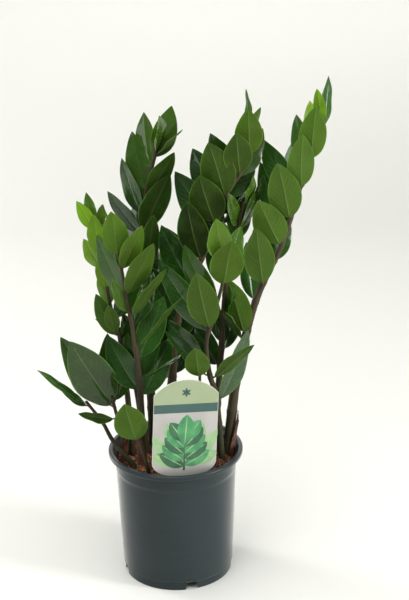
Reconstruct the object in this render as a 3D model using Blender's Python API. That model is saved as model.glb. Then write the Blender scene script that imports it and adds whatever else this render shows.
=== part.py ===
"""Potted ZZ plant: a nursery pot of coir with arching stems of paired leaflets and a plain plant label.

Metres, +Z up, the front of the pot toward -Y. The origin lies under the middle of the whole object.
Stems and leaflets are listed in millimetres and degrees, measured from the soil's surface, and MM
turns them into metres.
"""
import math
from collections import namedtuple

import bmesh
import bpy
from mathutils import Matrix, Vector
from mathutils.bvhtree import BVHTree

MM = 0.001
GAP = 0.3 * MM                 # running gap between pieces that touch

# Pot
POT_HEIGHT = 0.129
WALL_TOP_RADIUS = 0.0588       # outside, just under the rim
WALL_FOOT_RADIUS = 0.0539      # outside, at the ledge over the foot ring
WALL = 0.0013
RIM_OVERHANG = 0.0062          # the rim's outside beyond the wall's
RIM_WIDTH = 0.0045
RIM_HEIGHT = 0.0048
RIM_RADIUS = WALL_TOP_RADIUS + RIM_OVERHANG
RIM_INNER_RADIUS = RIM_RADIUS - RIM_WIDTH
FOOT_LEDGE = 0.0015            # the foot ring's outside inside the wall's
FOOT_RADIUS = WALL_FOOT_RADIUS - FOOT_LEDGE
FOOT_HEIGHT = 0.0095
FLOOR_THICKNESS = 0.0015
MOULD_LINE_DROP = 0.0135       # faint step in the wall, below the rim
MOULD_LINE_STEP = 0.00025
MOULD_LINE_RISE = 0.0004
POT_SEGMENTS = 64
NOTCH_COUNT = 4
NOTCH_TURN = math.radians(15)  # the first notch, right of the front
NOTCH_WIDTH_TOP = 0.009
NOTCH_WIDTH_FOOT = 0.013
NOTCH_HEIGHT = 0.0075
DRAIN_COUNT = 8
DRAIN_RADIUS = 0.0045
DRAIN_CIRCLE = 0.036

# Soil
SOIL_DROP = 0.012              # the soil's surface below the rim
SOIL_SEGMENTS = 48
SOIL_MOUND = 0.0015            # the surface is a little higher in the middle
SOIL_MOUND_REACH = 0.6         # as a share of the soil's radius

# Label
LABEL_WIDTH = 0.061
LABEL_BODY_HEIGHT = 0.071      # from the shoulders down to where it tapers
LABEL_CROWN = 0.015            # rise of the round top over the shoulders
LABEL_TAPER = 0.012
LABEL_LIFT = 0.0195            # the taper's upper end over the soil
LABEL_THICKNESS = 0.0008
STAKE_WIDTH = 0.018
STAKE_DEPTH = 0.045
LABEL_X = 0.0075
LABEL_SET_BACK = 0.003578      # the stake's foot inside the soil's edge at its own depth
LABEL_ROLL = math.radians(3)   # its top leans to the right
LABEL_TURN = math.radians(11)  # its right edge stands further back
CROWN_STEPS = 10

# Stems
STEM_SIDES = 8
STEM_STEPS_PER_SPAN = 3
STEM_TAPER_POWER = 1.2
ROOT_DEPTH = 0.012             # how far a stem stands in the soil
ROOT_MARGIN = 0.0006           # from the soil's edge to the skin of the thickest stem, were it outermost

# Leaflets
LEAFLET_THICKNESS = 0.0011
LEAFLET_FOLD = math.tan(math.radians(13))
LEAFLET_ARCH = 0.06            # how far the tip bends back, as a share of the length
BLADE_BASE_POWER = 0.75        # how fast the blade widens from its base
BLADE_TIP_POWER = 0.80         # how fast it narrows to its tip
STALK_HALF = 0.00055
STALK_LENGTH = 0.004
STALK_OUTSET = 0.003           # how far the blade stands off its stem
LEAFLET_STATIONS = (0.0, 0.1, 0.24, 0.41, 0.58, 0.75, 0.89)
YOUNG_LENGTH = 32              # millimetres; shorter leaflets are young and lime green
SETTLE_STEP = 6                # degrees that a leaflet turns at a time to clear its neighbours
SETTLE_TRIES = 9

# Dry sheaths at the foot of some stems
SHEATH_THICKNESS = 0.0008
SHEATH_GAP = 0.0005
SHEATH_STATIONS = 6
SHEATH_ARC_STEPS = 6
SHEATH_NARROWING = 0.75        # how much of its span a sheath loses by its top

Leaflet = namedtuple("Leaflet", "height tilt lean turn length width")
Stem = namedtuple("Stem", "name root radius tip_radius loose route leaflets")
Sheath = namedtuple("Sheath", "stem facing span height")

# A stem's root is a share of the way from the pot's axis to the soil's edge, and a direction in degrees
# from +X toward +Y. Its route is measured from the root. A leaflet's values are its height on the stem,
# its tilt to the right, its lean to the front, the turn of its upper face from the front, and its blade's
# length and width. The first leaflets, as many as loose says, are pieces of their own, and the rest, which
# crowd one another, are one piece with the stem.
STEMS = (
    Stem("right_stem", (0.98, 3), 5.6, 1.5, 4,
         ((3, 5, 24), (11, 10, 83), (29, 12, 156), (53, 12, 211), (69, 13, 262), (81, 13, 300),
          (92, 13, 332)),
         (Leaflet(119, -20, 14, 130, 34, 14), Leaflet(126, -15, 8, 190, 52, 27),
          Leaflet(155, -5, -18, 20, 50, 22), Leaflet(175, -6, 6, 185, 57, 29),
          Leaflet(185, -8, -38, 0, 50, 26), Leaflet(212, -22, 6, 175, 48, 31),
          Leaflet(225, -12, -40, 10, 50, 26), Leaflet(228, -22, -14, -15, 60, 24),
          Leaflet(238, -11, 7, 180, 56, 31), Leaflet(258, -32, -12, -15, 58, 24),
          Leaflet(262, -5, -38, 0, 46, 24), Leaflet(268, 0, 8, 190, 52, 26),
          Leaflet(288, -12, -14, -25, 42, 20), Leaflet(295, 4, 8, 185, 49, 26),
          Leaflet(308, -5, -18, -10, 36, 16), Leaflet(323, 10, -4, 45, 44, 16),
          Leaflet(330, -5, 6, 160, 28, 12), Leaflet(196, 14, -10, 20, 44, 22))),
    Stem("centre_stem", (0.23, 121), 5.2, 1.5, 4,
         ((4, 0, 78), (13, 0, 148), (42, -5, 221), (57, -5, 263), (79, -5, 300), (77, -5, 330)),
         (Leaflet(82, 12, -12, 15, 56, 26), Leaflet(98, -24, -10, 10, 58, 30),
          Leaflet(116, 10, -10, 10, 56, 28), Leaflet(138, -26, -12, 15, 56, 28),
          Leaflet(171, -16, -6, 10, 55, 33), Leaflet(178, -24, -20, 0, 54, 26),
          Leaflet(203, -10, 8, 178, 60, 29), Leaflet(215, 8, -42, 0, 50, 26),
          Leaflet(232, 42, -6, 60, 54, 14), Leaflet(233, -35, -14, -12, 56, 30),
          Leaflet(239, -14, 8, 175, 48, 33), Leaflet(245, 27, -14, 25, 55, 20),
          Leaflet(255, -28, -12, -10, 52, 30), Leaflet(262, 10, -42, 0, 48, 26),
          Leaflet(264, -14, 8, 180, 54, 32), Leaflet(278, -25, -14, -15, 45, 24),
          Leaflet(285, -5, 8, 185, 42, 27), Leaflet(303, 4, 8, 190, 40, 26),
          Leaflet(320, 18, -8, 200, 27, 16), Leaflet(326, 8, 0, 60, 32, 12),
          Leaflet(283, 24, -12, 20, 44, 22))),
    Stem("back_left_stem", (0.66, 130), 5.0, 1.5, 4,
         ((-2, 2, 83), (-1, 4, 184), (-6, 4, 223), (0, 4, 263), (8, 4, 294), (14, 4, 320)),
         (Leaflet(66, 26, -8, 15, 60, 28), Leaflet(76, -20, -8, -10, 58, 26),
          Leaflet(96, 16, -8, 20, 62, 30), Leaflet(110, -10, -12, 0, 54, 26),
          Leaflet(133, 22, -8, 20, 60, 30), Leaflet(160, 0, -40, 0, 54, 26),
          Leaflet(186, 5, 8, 200, 56, 20), Leaflet(200, -10, -42, 0, 52, 26),
          Leaflet(221, -38, -5, -30, 44, 20), Leaflet(225, 23, 8, 195, 58, 26),
          Leaflet(235, 5, -40, 0, 50, 24), Leaflet(239, -20, -8, -40, 50, 22),
          Leaflet(261, 28, 8, 200, 46, 20), Leaflet(263, -13, -10, -15, 50, 24),
          Leaflet(283, -8, -8, -20, 48, 22), Leaflet(294, 18, 0, 10, 46, 24),
          Leaflet(298, 38, 5, 240, 30, 10), Leaflet(300, 8, -20, 10, 44, 20))),
    Stem("left_front_stem", (0.73, 213), 4.2, 1.3, 4,
         ((0, -5, 72), (-3, -8, 128), (-10, -10, 182), (-15, -10, 218), (-18, -10, 235)),
         (Leaflet(97, 60, 0, 60, 42, 14), Leaflet(100, 12, -14, 25, 62, 26),
          Leaflet(130, 33, 4, 235, 62, 11), Leaflet(151, 22, -12, 30, 46, 18),
          Leaflet(161, 29, 6, 220, 56, 15), Leaflet(166, -20, 5, 210, 34, 12),
          Leaflet(179, -25, -8, -28, 58, 22), Leaflet(184, 23, 8, 200, 56, 22),
          Leaflet(203, -20, -10, -25, 56, 22), Leaflet(208, 20, 8, 200, 46, 20),
          Leaflet(222, -5, 6, 180, 42, 24), Leaflet(78, 30, -20, 10, 56, 26),
          Leaflet(118, 25, -25, 5, 56, 26), Leaflet(84, -28, -15, 0, 54, 26))),
    Stem("far_left_stem", (0.84, 173), 3.6, 1.2, 4,
         ((-2, -7, 63), (-7, -13, 128), (-14, -15, 158), (-20, -15, 203), (-26, -15, 245)),
         (Leaflet(135, -18, 6, 180, 46, 18), Leaflet(139, -8, -10, 150, 34, 14),
          Leaflet(163, -8, -8, -20, 36, 18), Leaflet(183, -5, 6, 175, 30, 16),
          Leaflet(190, 15, -10, 20, 40, 18), Leaflet(201, -30, -6, -10, 27, 16),
          Leaflet(215, 15, -8, 20, 36, 16), Leaflet(216, -5, 6, 170, 36, 18),
          Leaflet(240, -20, 4, 190, 26, 13), Leaflet(241, 15, 5, 160, 20, 10),
          Leaflet(243, -12, -8, 0, 26, 11), Leaflet(112, 22, -12, 10, 48, 20),
          Leaflet(150, 28, -8, 10, 46, 20))),
    Stem("left_back_stem", (0.59, 160), 3.6, 1.2, 3,
         ((-10, -2, 83), (-16, -5, 133), (-22, -5, 173), (-26, -5, 203)),
         (Leaflet(133, -65, -4, 40, 22, 7), Leaflet(150, 15, -12, 20, 44, 18),
          Leaflet(170, -12, -15, 0, 44, 20), Leaflet(190, 5, -12, 10, 44, 20),
          Leaflet(200, -15, -20, 0, 40, 18))),
    Stem("front_stem", (0.92, 341), 3.8, 1.3, 4,
         ((-4, -5, 71), (-10, -10, 98), (-13, -15, 131), (-7, -15, 155), (2, -15, 188), (8, -15, 218)),
         (Leaflet(69, 25, -10, 40, 66, 28), Leaflet(96, 42, 6, 205, 48, 16),
          Leaflet(98, -40, -6, 60, 52, 13), Leaflet(118, -50, -16, -10, 45, 18),
          Leaflet(145, -33, -2, 0, 75, 24), Leaflet(149, -10, 8, 180, 58, 29),
          Leaflet(168, -26, -8, -15, 58, 24), Leaflet(192, 9, 8, 185, 44, 31),
          Leaflet(200, 20, -20, 10, 42, 20), Leaflet(214, -12, 4, 205, 40, 25))),
    Stem("middle_stem", (0.74, 11), 4.4, 1.3, 4,
         ((5, 1, 63), (9, 3, 113), (13, 3, 168), (20, 3, 198), (27, 5, 233), (32, 5, 255)),
         (Leaflet(108, 20, -28, 10, 48, 18), Leaflet(115, -8, -8, -40, 55, 18),
          Leaflet(145, 12, -6, 30, 38, 15), Leaflet(173, -5, -30, 0, 48, 22),
          Leaflet(218, 6, -4, 10, 50, 24), Leaflet(228, 25, -8, 50, 52, 16),
          Leaflet(232, -8, -14, 5, 42, 17), Leaflet(252, 15, -15, 10, 30, 12),
          Leaflet(92, -30, -18, 0, 50, 24), Leaflet(195, -20, -12, 0, 48, 22))),
    Stem("short_left_stem", (1.0, 187), 2.6, 1.5, 5,
         ((0, -5, 32), (-3, -9, 47), (-8, -13, 73)),
         (Leaflet(51, -72, 20, 250, 32, 13), Leaflet(64, -38, -14, -10, 76, 34),
          Leaflet(67, -26, 6, 5, 72, 41), Leaflet(68, 12, -2, 30, 64, 24),
          Leaflet(70, -2, -14, 15, 58, 26))),
    Stem("leaning_stem", (0.90, 214), 3.0, 1.4, 2,
         ((-8, 2, 12), (-22, 11, 27), (-31, 13, 45), (-46, 14, 67)),
         (Leaflet(63, -45, 5, 40, 28, 9),
          Leaflet(68, -38, 2, 70, 55, 14))),
    Stem("small_front_stem", (0.97, 241), 2.2, 1.3, 1,
         ((-3, -3, 18), (-10, -5, 46)),
         (Leaflet(45, -12, 6, 180, 40, 31),)),
    Stem("small_middle_stem", (0.81, 299), 2.2, 1.3, 1,
         ((4, 0, 53), (5, 0, 106)),
         (Leaflet(103, -5, 6, 180, 29, 23),)),
)

THICKEST_STEM = max(stem.radius for stem in STEMS) * MM

SHEATHS = (
    Sheath("left_front_stem", 235, 150, 48),
    Sheath("short_left_stem", 300, 160, 40),
    Sheath("middle_stem", 265, 120, 72),
    Sheath("right_stem", 330, 90, 46),
    Sheath("centre_stem", 200, 140, 42),
)


# ---------------------------------------------------------------- materials and objects

def material(name, colour, roughness):
    """A plain surface, with the colour as linear red, green and blue."""
    made = bpy.data.materials.new(name)
    made.use_nodes = True
    shader = made.node_tree.nodes["Principled BSDF"]
    shader.inputs["Base Color"].default_value = (*colour, 1.0)
    shader.inputs["Roughness"].default_value = roughness
    shader.inputs["Metallic"].default_value = 0.0
    made.diffuse_color = (*colour, 1.0)
    return made


def new_object(name, mesh_builder, surface, parent, smooth=True):
    """Turns a bmesh into an object of its own, with its faces outward."""
    bmesh.ops.recalc_face_normals(mesh_builder, faces=mesh_builder.faces)
    mesh = bpy.data.meshes.new(name)
    mesh_builder.to_mesh(mesh)
    mesh_builder.free()
    made = bpy.data.objects.new(name, mesh)
    bpy.context.scene.collection.objects.link(made)
    made.data.materials.append(surface)
    made.parent = parent
    if smooth:
        mesh.shade_smooth()
        mesh.set_sharp_from_angle(angle=math.radians(40))
    return made


def hide_as_cutter(cutter):
    cutter.hide_render = True
    cutter.display_type = "WIRE"


def combine(target, other, operation):
    """Cuts or joins another object, which then stays as a hidden tool."""
    hide_as_cutter(other)
    change = target.modifiers.new(f"{operation.lower()} {other.name}", "BOOLEAN")
    change.operation = operation
    change.solver = "EXACT"
    change.object = other


# ---------------------------------------------------------------- shapes

def skin(sections, tip=None):
    """Joins closed sections of equal length into one body, with flat ends or a pointed tip."""
    made = bmesh.new()
    rings = [[made.verts.new(point) for point in section] for section in sections]
    for lower, upper in zip(rings, rings[1:]):
        for here in range(len(lower)):
            after = (here + 1) % len(lower)
            made.faces.new((lower[here], lower[after], upper[after], upper[here]))
    made.faces.new(reversed(rings[0]))
    if tip is None:
        made.faces.new(rings[-1])
        return made
    point = made.verts.new(tip)
    last = rings[-1]
    for here in range(len(last)):
        made.faces.new((last[here], last[(here + 1) % len(last)], point))
    return made


def turned(profile, segments):
    """Turns a closed outline of radius and height around Z. Points on the axis become one point."""
    made = bmesh.new()
    rings = []
    for radius, height in profile:
        if radius == 0:
            rings.append([made.verts.new((0, 0, height))] * segments)
            continue
        angles = [2 * math.pi * step / segments for step in range(segments)]
        rings.append([made.verts.new((radius * math.cos(a), radius * math.sin(a), height)) for a in angles])
    for index, lower in enumerate(rings):
        upper = rings[(index + 1) % len(rings)]
        for here in range(segments):
            after = (here + 1) % segments
            corners = []
            for corner in (lower[here], lower[after], upper[after], upper[here]):
                if corner not in corners:
                    corners.append(corner)
            if len(corners) > 2:
                made.faces.new(corners)
    return made


def wall_inner_radius(height):
    """The pot's inside at a height, between the ledge and the rim."""
    rise = (height - FOOT_HEIGHT) / (POT_HEIGHT - RIM_HEIGHT - FOOT_HEIGHT)
    return WALL_FOOT_RADIUS + rise * (WALL_TOP_RADIUS - WALL_FOOT_RADIUS) - WALL


SOIL_TOP = POT_HEIGHT - SOIL_DROP
SOIL_RADIUS = wall_inner_radius(SOIL_TOP) - GAP


def pot_profile():
    rim_foot = POT_HEIGHT - RIM_HEIGHT
    line = rim_foot - MOULD_LINE_DROP
    bead = 0.3 * RIM_HEIGHT
    line_radius = wall_inner_radius(line) + WALL
    return (
        (0, FOOT_HEIGHT - FLOOR_THICKNESS), (FOOT_RADIUS - WALL, FOOT_HEIGHT - FLOOR_THICKNESS),
        (FOOT_RADIUS - WALL, 0), (FOOT_RADIUS, 0), (FOOT_RADIUS, FOOT_HEIGHT - FLOOR_THICKNESS),
        (WALL_FOOT_RADIUS, FOOT_HEIGHT), (line_radius, line),
        (line_radius + MOULD_LINE_STEP, line + MOULD_LINE_RISE),
        (WALL_TOP_RADIUS + MOULD_LINE_STEP, rim_foot),
        (RIM_RADIUS - bead, rim_foot), (RIM_RADIUS, rim_foot + bead), (RIM_RADIUS, POT_HEIGHT - bead),
        (RIM_RADIUS - bead, POT_HEIGHT), (RIM_INNER_RADIUS + bead / 2, POT_HEIGHT),
        (RIM_INNER_RADIUS, POT_HEIGHT - bead / 2), (WALL_TOP_RADIUS - WALL, rim_foot - WALL),
        (wall_inner_radius(FOOT_HEIGHT), FOOT_HEIGHT), (0, FOOT_HEIGHT),
    )


def notch_cutter(index):
    """A wedge of air through the foot ring, wider at the foot."""
    reach = FOOT_RADIUS - 4 * WALL, RIM_RADIUS
    sections = []
    for radius in reach:
        sections.append([(-NOTCH_WIDTH_FOOT / 2, -radius, -FOOT_HEIGHT), (-NOTCH_WIDTH_FOOT / 2, -radius, 0),
                         (-NOTCH_WIDTH_TOP / 2, -radius, NOTCH_HEIGHT),
                         (NOTCH_WIDTH_TOP / 2, -radius, NOTCH_HEIGHT),
                         (NOTCH_WIDTH_FOOT / 2, -radius, 0), (NOTCH_WIDTH_FOOT / 2, -radius, -FOOT_HEIGHT)])
    made = skin(sections)
    turn = NOTCH_TURN + 2 * math.pi * index / NOTCH_COUNT
    bmesh.ops.rotate(made, verts=made.verts, matrix=Matrix.Rotation(turn, 3, "Z"))
    return made


def drain_cutter(index):
    made = bmesh.new()
    turn = NOTCH_TURN + 2 * math.pi * (index + 0.5) / DRAIN_COUNT
    place = Matrix.Translation((DRAIN_CIRCLE * math.cos(turn), DRAIN_CIRCLE * math.sin(turn), FOOT_HEIGHT))
    bmesh.ops.create_cone(made, cap_ends=True, segments=12, radius1=DRAIN_RADIUS, radius2=DRAIN_RADIUS,
                          depth=4 * FLOOR_THICKNESS, matrix=place)
    return made


def label_outline(grow=0.0):
    """The label's outline from the front, with its lowest point on the stake."""
    half = LABEL_WIDTH / 2 + grow
    stake = STAKE_WIDTH / 2 + grow
    taper_top = LABEL_LIFT
    shoulder = taper_top + LABEL_BODY_HEIGHT
    radius = (half ** 2 + LABEL_CROWN ** 2) / (2 * LABEL_CROWN)
    centre = shoulder + LABEL_CROWN - radius
    sweep = math.asin(half / radius)
    crown = []
    for step in range(CROWN_STEPS + 1):
        angle = sweep - 2 * sweep * step / CROWN_STEPS
        crown.append((radius * math.sin(angle), centre + radius * math.cos(angle)))
    foot = -STAKE_DEPTH
    right = [(stake, foot + STAKE_WIDTH), (stake, taper_top - LABEL_TAPER), (half, taper_top)]
    left = [(-x, z) for x, z in reversed(right)]
    return [(0, foot - grow), *right, *crown, *left]


def label_plate(grow=0.0):
    half = LABEL_THICKNESS / 2 + grow
    outline = label_outline(grow)
    made = skin([[(x, y, z) for x, z in outline] for y in (-half, half)])
    bmesh.ops.rotate(made, verts=made.verts, matrix=Matrix.Rotation(LABEL_ROLL, 3, "Y"))
    bmesh.ops.rotate(made, verts=made.verts, matrix=Matrix.Rotation(LABEL_TURN, 3, "Z"))
    edge = wall_inner_radius(SOIL_TOP - STAKE_DEPTH) - GAP
    front = Vector((LABEL_X, LABEL_SET_BACK - edge, SOIL_TOP))
    bmesh.ops.translate(made, verts=made.verts, vec=front)
    return made


# ---------------------------------------------------------------- stems

def smooth_route(points, steps):
    """Points along a smooth curve through all the given ones."""
    ends = [2 * points[0] - points[1], *points, 2 * points[-1] - points[-2]]
    route = []
    for before, start, end, after in zip(ends, ends[1:], ends[2:], ends[3:]):
        for step in range(steps):
            t = step / steps
            pull = (2 * start + (end - before) * t + (2 * before - 5 * start + 4 * end - after) * t * t
                    + (3 * start - before - 3 * end + after) * t ** 3)
            route.append(pull / 2)
    return route + [points[-1]]


class Rachis:
    """A stem's course from its foot in the soil to its tip, and its radius along it."""

    def __init__(self, stem):
        share, direction = stem.root
        angle = math.radians(direction)
        reach = share * (SOIL_RADIUS - ROOT_MARGIN - THICKEST_STEM)
        root = Vector((reach * math.cos(angle), reach * math.sin(angle), SOIL_TOP))
        knots = [root - Vector((0, 0, ROOT_DEPTH)), root]
        knots += [root + Vector(offset) * MM for offset in stem.route]
        self.points = smooth_route(knots, STEM_STEPS_PER_SPAN)
        self.stem = stem
        lengths = [0.0]
        for lower, upper in zip(self.points, self.points[1:]):
            lengths.append(lengths[-1] + (upper - lower).length)
        slim = [(1 - length / lengths[-1]) ** STEM_TAPER_POWER for length in lengths]
        self.radii = [(stem.tip_radius + (stem.radius - stem.tip_radius) * share) * MM for share in slim]

    def tangent(self, index):
        before = self.points[max(index - 1, 0)]
        after = self.points[min(index + 1, len(self.points) - 1)]
        return (after - before).normalized()

    def at(self, height):
        """The middle, direction and radius at a height over the soil."""
        level = SOIL_TOP + height
        for index, (lower, upper) in enumerate(zip(self.points, self.points[1:])):
            if level <= upper.z or index == len(self.points) - 2:
                share = min(max((level - lower.z) / (upper.z - lower.z), 0), 1)
                radius = self.radii[index] + share * (self.radii[index + 1] - self.radii[index])
                return lower.lerp(upper, share), (upper - lower).normalized(), radius

    def tube(self, grow=0.0):
        sections = []
        for index, point in enumerate(self.points):
            along = self.tangent(index)
            side = Vector((0, 1, 0)).cross(along).normalized()
            front = along.cross(side)
            radius = self.radii[index] + grow
            angles = [2 * math.pi * step / STEM_SIDES for step in range(STEM_SIDES)]
            sections.append([point + radius * (side * math.cos(a) + front * math.sin(a)) for a in angles])
        lowest = min(corner.z for corner in sections[0])
        for corner in sections[0]:
            corner.z = lowest - grow
        return skin(sections)


# ---------------------------------------------------------------- leaflets

def blade_half_width(share):
    """Half the blade's width at a share of its length, as a share of its full half width."""
    widest = BLADE_BASE_POWER / (BLADE_BASE_POWER + BLADE_TIP_POWER)
    fullest = widest ** BLADE_BASE_POWER * (1 - widest) ** BLADE_TIP_POWER
    return share ** BLADE_BASE_POWER * (1 - share) ** BLADE_TIP_POWER / fullest


def blade_axes(leaflet):
    """The directions along the blade, across it and out of its upper face."""
    tilt, lean, turn = (math.radians(angle) for angle in (leaflet.tilt, leaflet.lean, leaflet.turn))
    along = Vector((math.sin(tilt) * math.cos(lean), -math.sin(lean), math.cos(tilt) * math.cos(lean)))
    front = Vector((0, -1, 0))
    front = (front - along * front.dot(along)).normalized()
    upper = front * math.cos(turn) + along.cross(front) * math.sin(turn)
    return along, along.cross(upper), upper


def blade_base(rachis, leaflet, joined):
    """Where the leaflet's stalk starts, and the way it leaves the stem."""
    middle, direction, radius = rachis.at(leaflet.height * MM)
    out = Vector((2 * math.sin(math.radians(leaflet.tilt)), 0.8 * math.cos(math.radians(leaflet.turn)), 0))
    out = (out - direction * out.dot(direction)).normalized()
    stand_off = radius / 2 if joined else radius + GAP + STALK_HALF
    return middle + out * stand_off, out


def blade(rachis, leaflet, joined, grow=0.0):
    """A thin closed blade on a short stalk, folded along its midrib, with its tip bent back."""
    along, across, upper = blade_axes(leaflet)
    base, out = blade_base(rachis, leaflet, joined)
    length = leaflet.length * MM
    half = leaflet.width * MM / 2
    sections = [[base + across * STALK_HALF, base + upper * STALK_HALF,
                 base - across * STALK_HALF, base - upper * STALK_HALF]]
    for share in LEAFLET_STATIONS:
        run = STALK_LENGTH + length * share
        middle = base + out * STALK_OUTSET + along * run - upper * length * LEAFLET_ARCH * share ** 2
        reach = max(half * blade_half_width(share), STALK_HALF) + grow
        lift = upper * LEAFLET_FOLD * reach
        body = LEAFLET_THICKNESS / 2 + grow
        sections.append([middle + across * reach + lift, middle + upper * body,
                         middle - across * reach + lift, middle - upper * body])
    tip = base + out * STALK_OUTSET + along * (STALK_LENGTH + length + grow) - upper * length * LEAFLET_ARCH
    return skin(sections, tip)


def tree_of(shape):
    """A search tree of a shape, with its box, which is used up."""
    corners = [vertex.co for vertex in shape.verts]
    box = [(min(c[axis] for c in corners), max(c[axis] for c in corners)) for axis in range(3)]
    found = BVHTree.FromBMesh(shape)
    shape.free()
    return found, box


def touches(one, other):
    """Whether two trees cross each other."""
    apart = any(low > high_other or low_other > high
                for (low, high), (low_other, high_other) in zip(one[1], other[1]))
    return not apart and bool(one[0].overlap(other[0]))


def settling_turns():
    """Changes of tilt, lean and turn, from none to the largest, in a fixed order."""
    yield 0, 0, 0
    for step in range(1, SETTLE_TRIES + 1):
        far = step * SETTLE_STEP
        for tilt, lean, turn in ((0, 1, 0), (0, -1, 0), (0, 0, 1), (0, 0, -1), (0, 1, 1), (0, -1, -1),
                                 (0, 1, -1), (0, -1, 1), (1, 0, 0), (-1, 0, 0), (1, 1, 0), (-1, -1, 0)):
            yield tilt * far / 2, lean * far, turn * far


def settle(rachis, leaflet, joined, own_stem, obstacles):
    """Turns a leaflet by the least that keeps it clear of every piece in its way."""
    for tilt, lean, turn in settling_turns():
        moved = leaflet._replace(tilt=leaflet.tilt + tilt, lean=leaflet.lean + lean, turn=leaflet.turn + turn)
        tried = tree_of(blade(rachis, moved, joined, GAP))
        clear = joined or not touches(tried, own_stem)
        if clear and not any(touches(tried, obstacle) for obstacle in obstacles):
            return moved, tried
    print("not settled:", rachis.stem.name, leaflet)
    return leaflet, tree_of(blade(rachis, leaflet, joined, GAP))


def sheath_shell(rachis, sheath):
    """A dry scale that stands on the soil and clasps one side of a stem's foot, narrowing upward."""
    sections = []
    for station in range(SHEATH_STATIONS):
        share = station / (SHEATH_STATIONS - 1)
        height = GAP + share * sheath.height * MM
        middle, along, radius = rachis.at(height)
        side = Vector((0, 1, 0)).cross(along).normalized()
        back = along.cross(side)
        half_span = math.radians(sheath.span / 2) * (1 - SHEATH_NARROWING * share ** 2)
        outer = []
        inner = []
        for step in range(SHEATH_ARC_STEPS + 1):
            angle = math.radians(sheath.facing) + half_span * (2 * step / SHEATH_ARC_STEPS - 1)
            way = side * math.cos(angle) + back * math.sin(angle)
            near = radius + SHEATH_GAP
            inner.append(middle + way * near)
            outer.append(middle + way * (near + SHEATH_THICKNESS))
        sections.append(outer + inner[::-1])
    lowest = sections[0]
    for corner in lowest:
        corner.z = SOIL_TOP + SOIL_MOUND + GAP
    return skin(sections)


# ---------------------------------------------------------------- the plant

def build_pot(parent, surface):
    pot = new_object("pot", turned(pot_profile(), POT_SEGMENTS), surface, parent)
    for index in range(NOTCH_COUNT):
        combine(pot, new_object(f"notch_cutter_{index + 1}", notch_cutter(index), surface, parent, False),
                "DIFFERENCE")
    for index in range(DRAIN_COUNT):
        combine(pot, new_object(f"drain_cutter_{index + 1}", drain_cutter(index), surface, parent, False),
                "DIFFERENCE")


def build_soil(parent, surface, courses):
    """The soil fills the pot, with a socket for each stem and a slot for the label."""
    floor = FOOT_HEIGHT + GAP
    profile = ((0, floor), (wall_inner_radius(FOOT_HEIGHT) - GAP, floor), (SOIL_RADIUS, SOIL_TOP),
               (SOIL_MOUND_REACH * SOIL_RADIUS, SOIL_TOP + SOIL_MOUND), (0, SOIL_TOP + SOIL_MOUND))
    soil = new_object("soil", turned(profile, SOIL_SEGMENTS), surface, parent)
    for rachis in courses:
        combine(soil, new_object(f"{rachis.stem.name}_socket", rachis.tube(GAP), surface, parent, False),
                "DIFFERENCE")
    combine(soil, new_object("label_slot", label_plate(GAP), surface, parent, False), "DIFFERENCE")


def build_leaflets(parent, surface, young_surface, stem_object, rachis, placed):
    """Loose leaflets become objects of their own, and the crowded upper ones join their stem."""
    for number, (leaflet, joined) in enumerate(placed, start=1):
        name = f"{rachis.stem.name}_leaflet_{number}"
        look = young_surface if leaflet.length < YOUNG_LENGTH else surface
        made = new_object(name, blade(rachis, leaflet, joined), look, parent)
        if joined:
            combine(stem_object, made, "UNION")


def settle_all(courses, fixed):
    """Every stem's leaflets at their settled angles, each with whether it is joined to its stem."""
    obstacles = list(fixed)
    stem_trees = {rachis.stem.name: tree_of(rachis.tube()) for rachis in courses}
    grown_trees = {rachis.stem.name: tree_of(rachis.tube(GAP)) for rachis in courses}
    placed = {}
    for rachis in courses:
        name = rachis.stem.name
        others = [tree for stem, tree in grown_trees.items() if stem != name]
        placed[name] = []
        for number, leaflet in enumerate(rachis.stem.leaflets):
            joined = number >= rachis.stem.loose
            moved, tree = settle(rachis, leaflet, joined, stem_trees[name], others + obstacles)
            obstacles.append(tree)
            placed[name].append((moved, joined))
    return placed


def centre_on_origin(parent):
    """Moves the object so that the origin lies under the middle of its box."""
    bpy.context.view_layer.update()
    corners = [thing.matrix_world @ Vector(corner) for thing in parent.children if not thing.hide_render
               for corner in thing.bound_box]
    for axis in range(2):
        values = [corner[axis] for corner in corners]
        parent.location[axis] = -(min(values) + max(values)) / 2


def main():
    for thing in list(bpy.data.objects):
        bpy.data.objects.remove(thing, do_unlink=True)
    parent = bpy.data.objects.new("plant_frame", None)
    bpy.context.scene.collection.objects.link(parent)

    pot_plastic = material("pot_plastic", (0.060, 0.078, 0.072), 0.42)
    coir = material("coir_soil", (0.16, 0.065, 0.028), 0.95)
    card = material("label_card", (0.46, 0.56, 0.33), 0.35)
    stem_skin = material("stem_skin", (0.16, 0.11, 0.065), 0.5)
    leaf_green = material("leaflet_green", (0.035, 0.13, 0.018), 0.3)
    young_green = material("young_leaflet_green", (0.17, 0.33, 0.05), 0.35)
    dry_brown = material("sheath_brown", (0.12, 0.035, 0.022), 0.8)

    courses = [Rachis(stem) for stem in STEMS]
    by_name = {rachis.stem.name: rachis for rachis in courses}

    build_pot(parent, pot_plastic)
    build_soil(parent, coir, courses)
    new_object("plant_label", label_plate(), card, parent, False)

    shells = [sheath_shell(by_name[sheath.stem], sheath) for sheath in SHEATHS]
    fixed = [tree_of(label_plate(GAP)), tree_of(turned(pot_profile(), POT_SEGMENTS))]
    fixed += [tree_of(shell.copy()) for shell in shells]
    placed = settle_all(courses, fixed)

    for rachis in courses:
        stem_object = new_object(rachis.stem.name, rachis.tube(), stem_skin, parent)
        build_leaflets(parent, leaf_green, young_green, stem_object, rachis, placed[rachis.stem.name])
    for sheath, shell in zip(SHEATHS, shells):
        new_object(f"{sheath.stem}_sheath", shell, dry_brown, parent)

    centre_on_origin(parent)


main()
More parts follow.
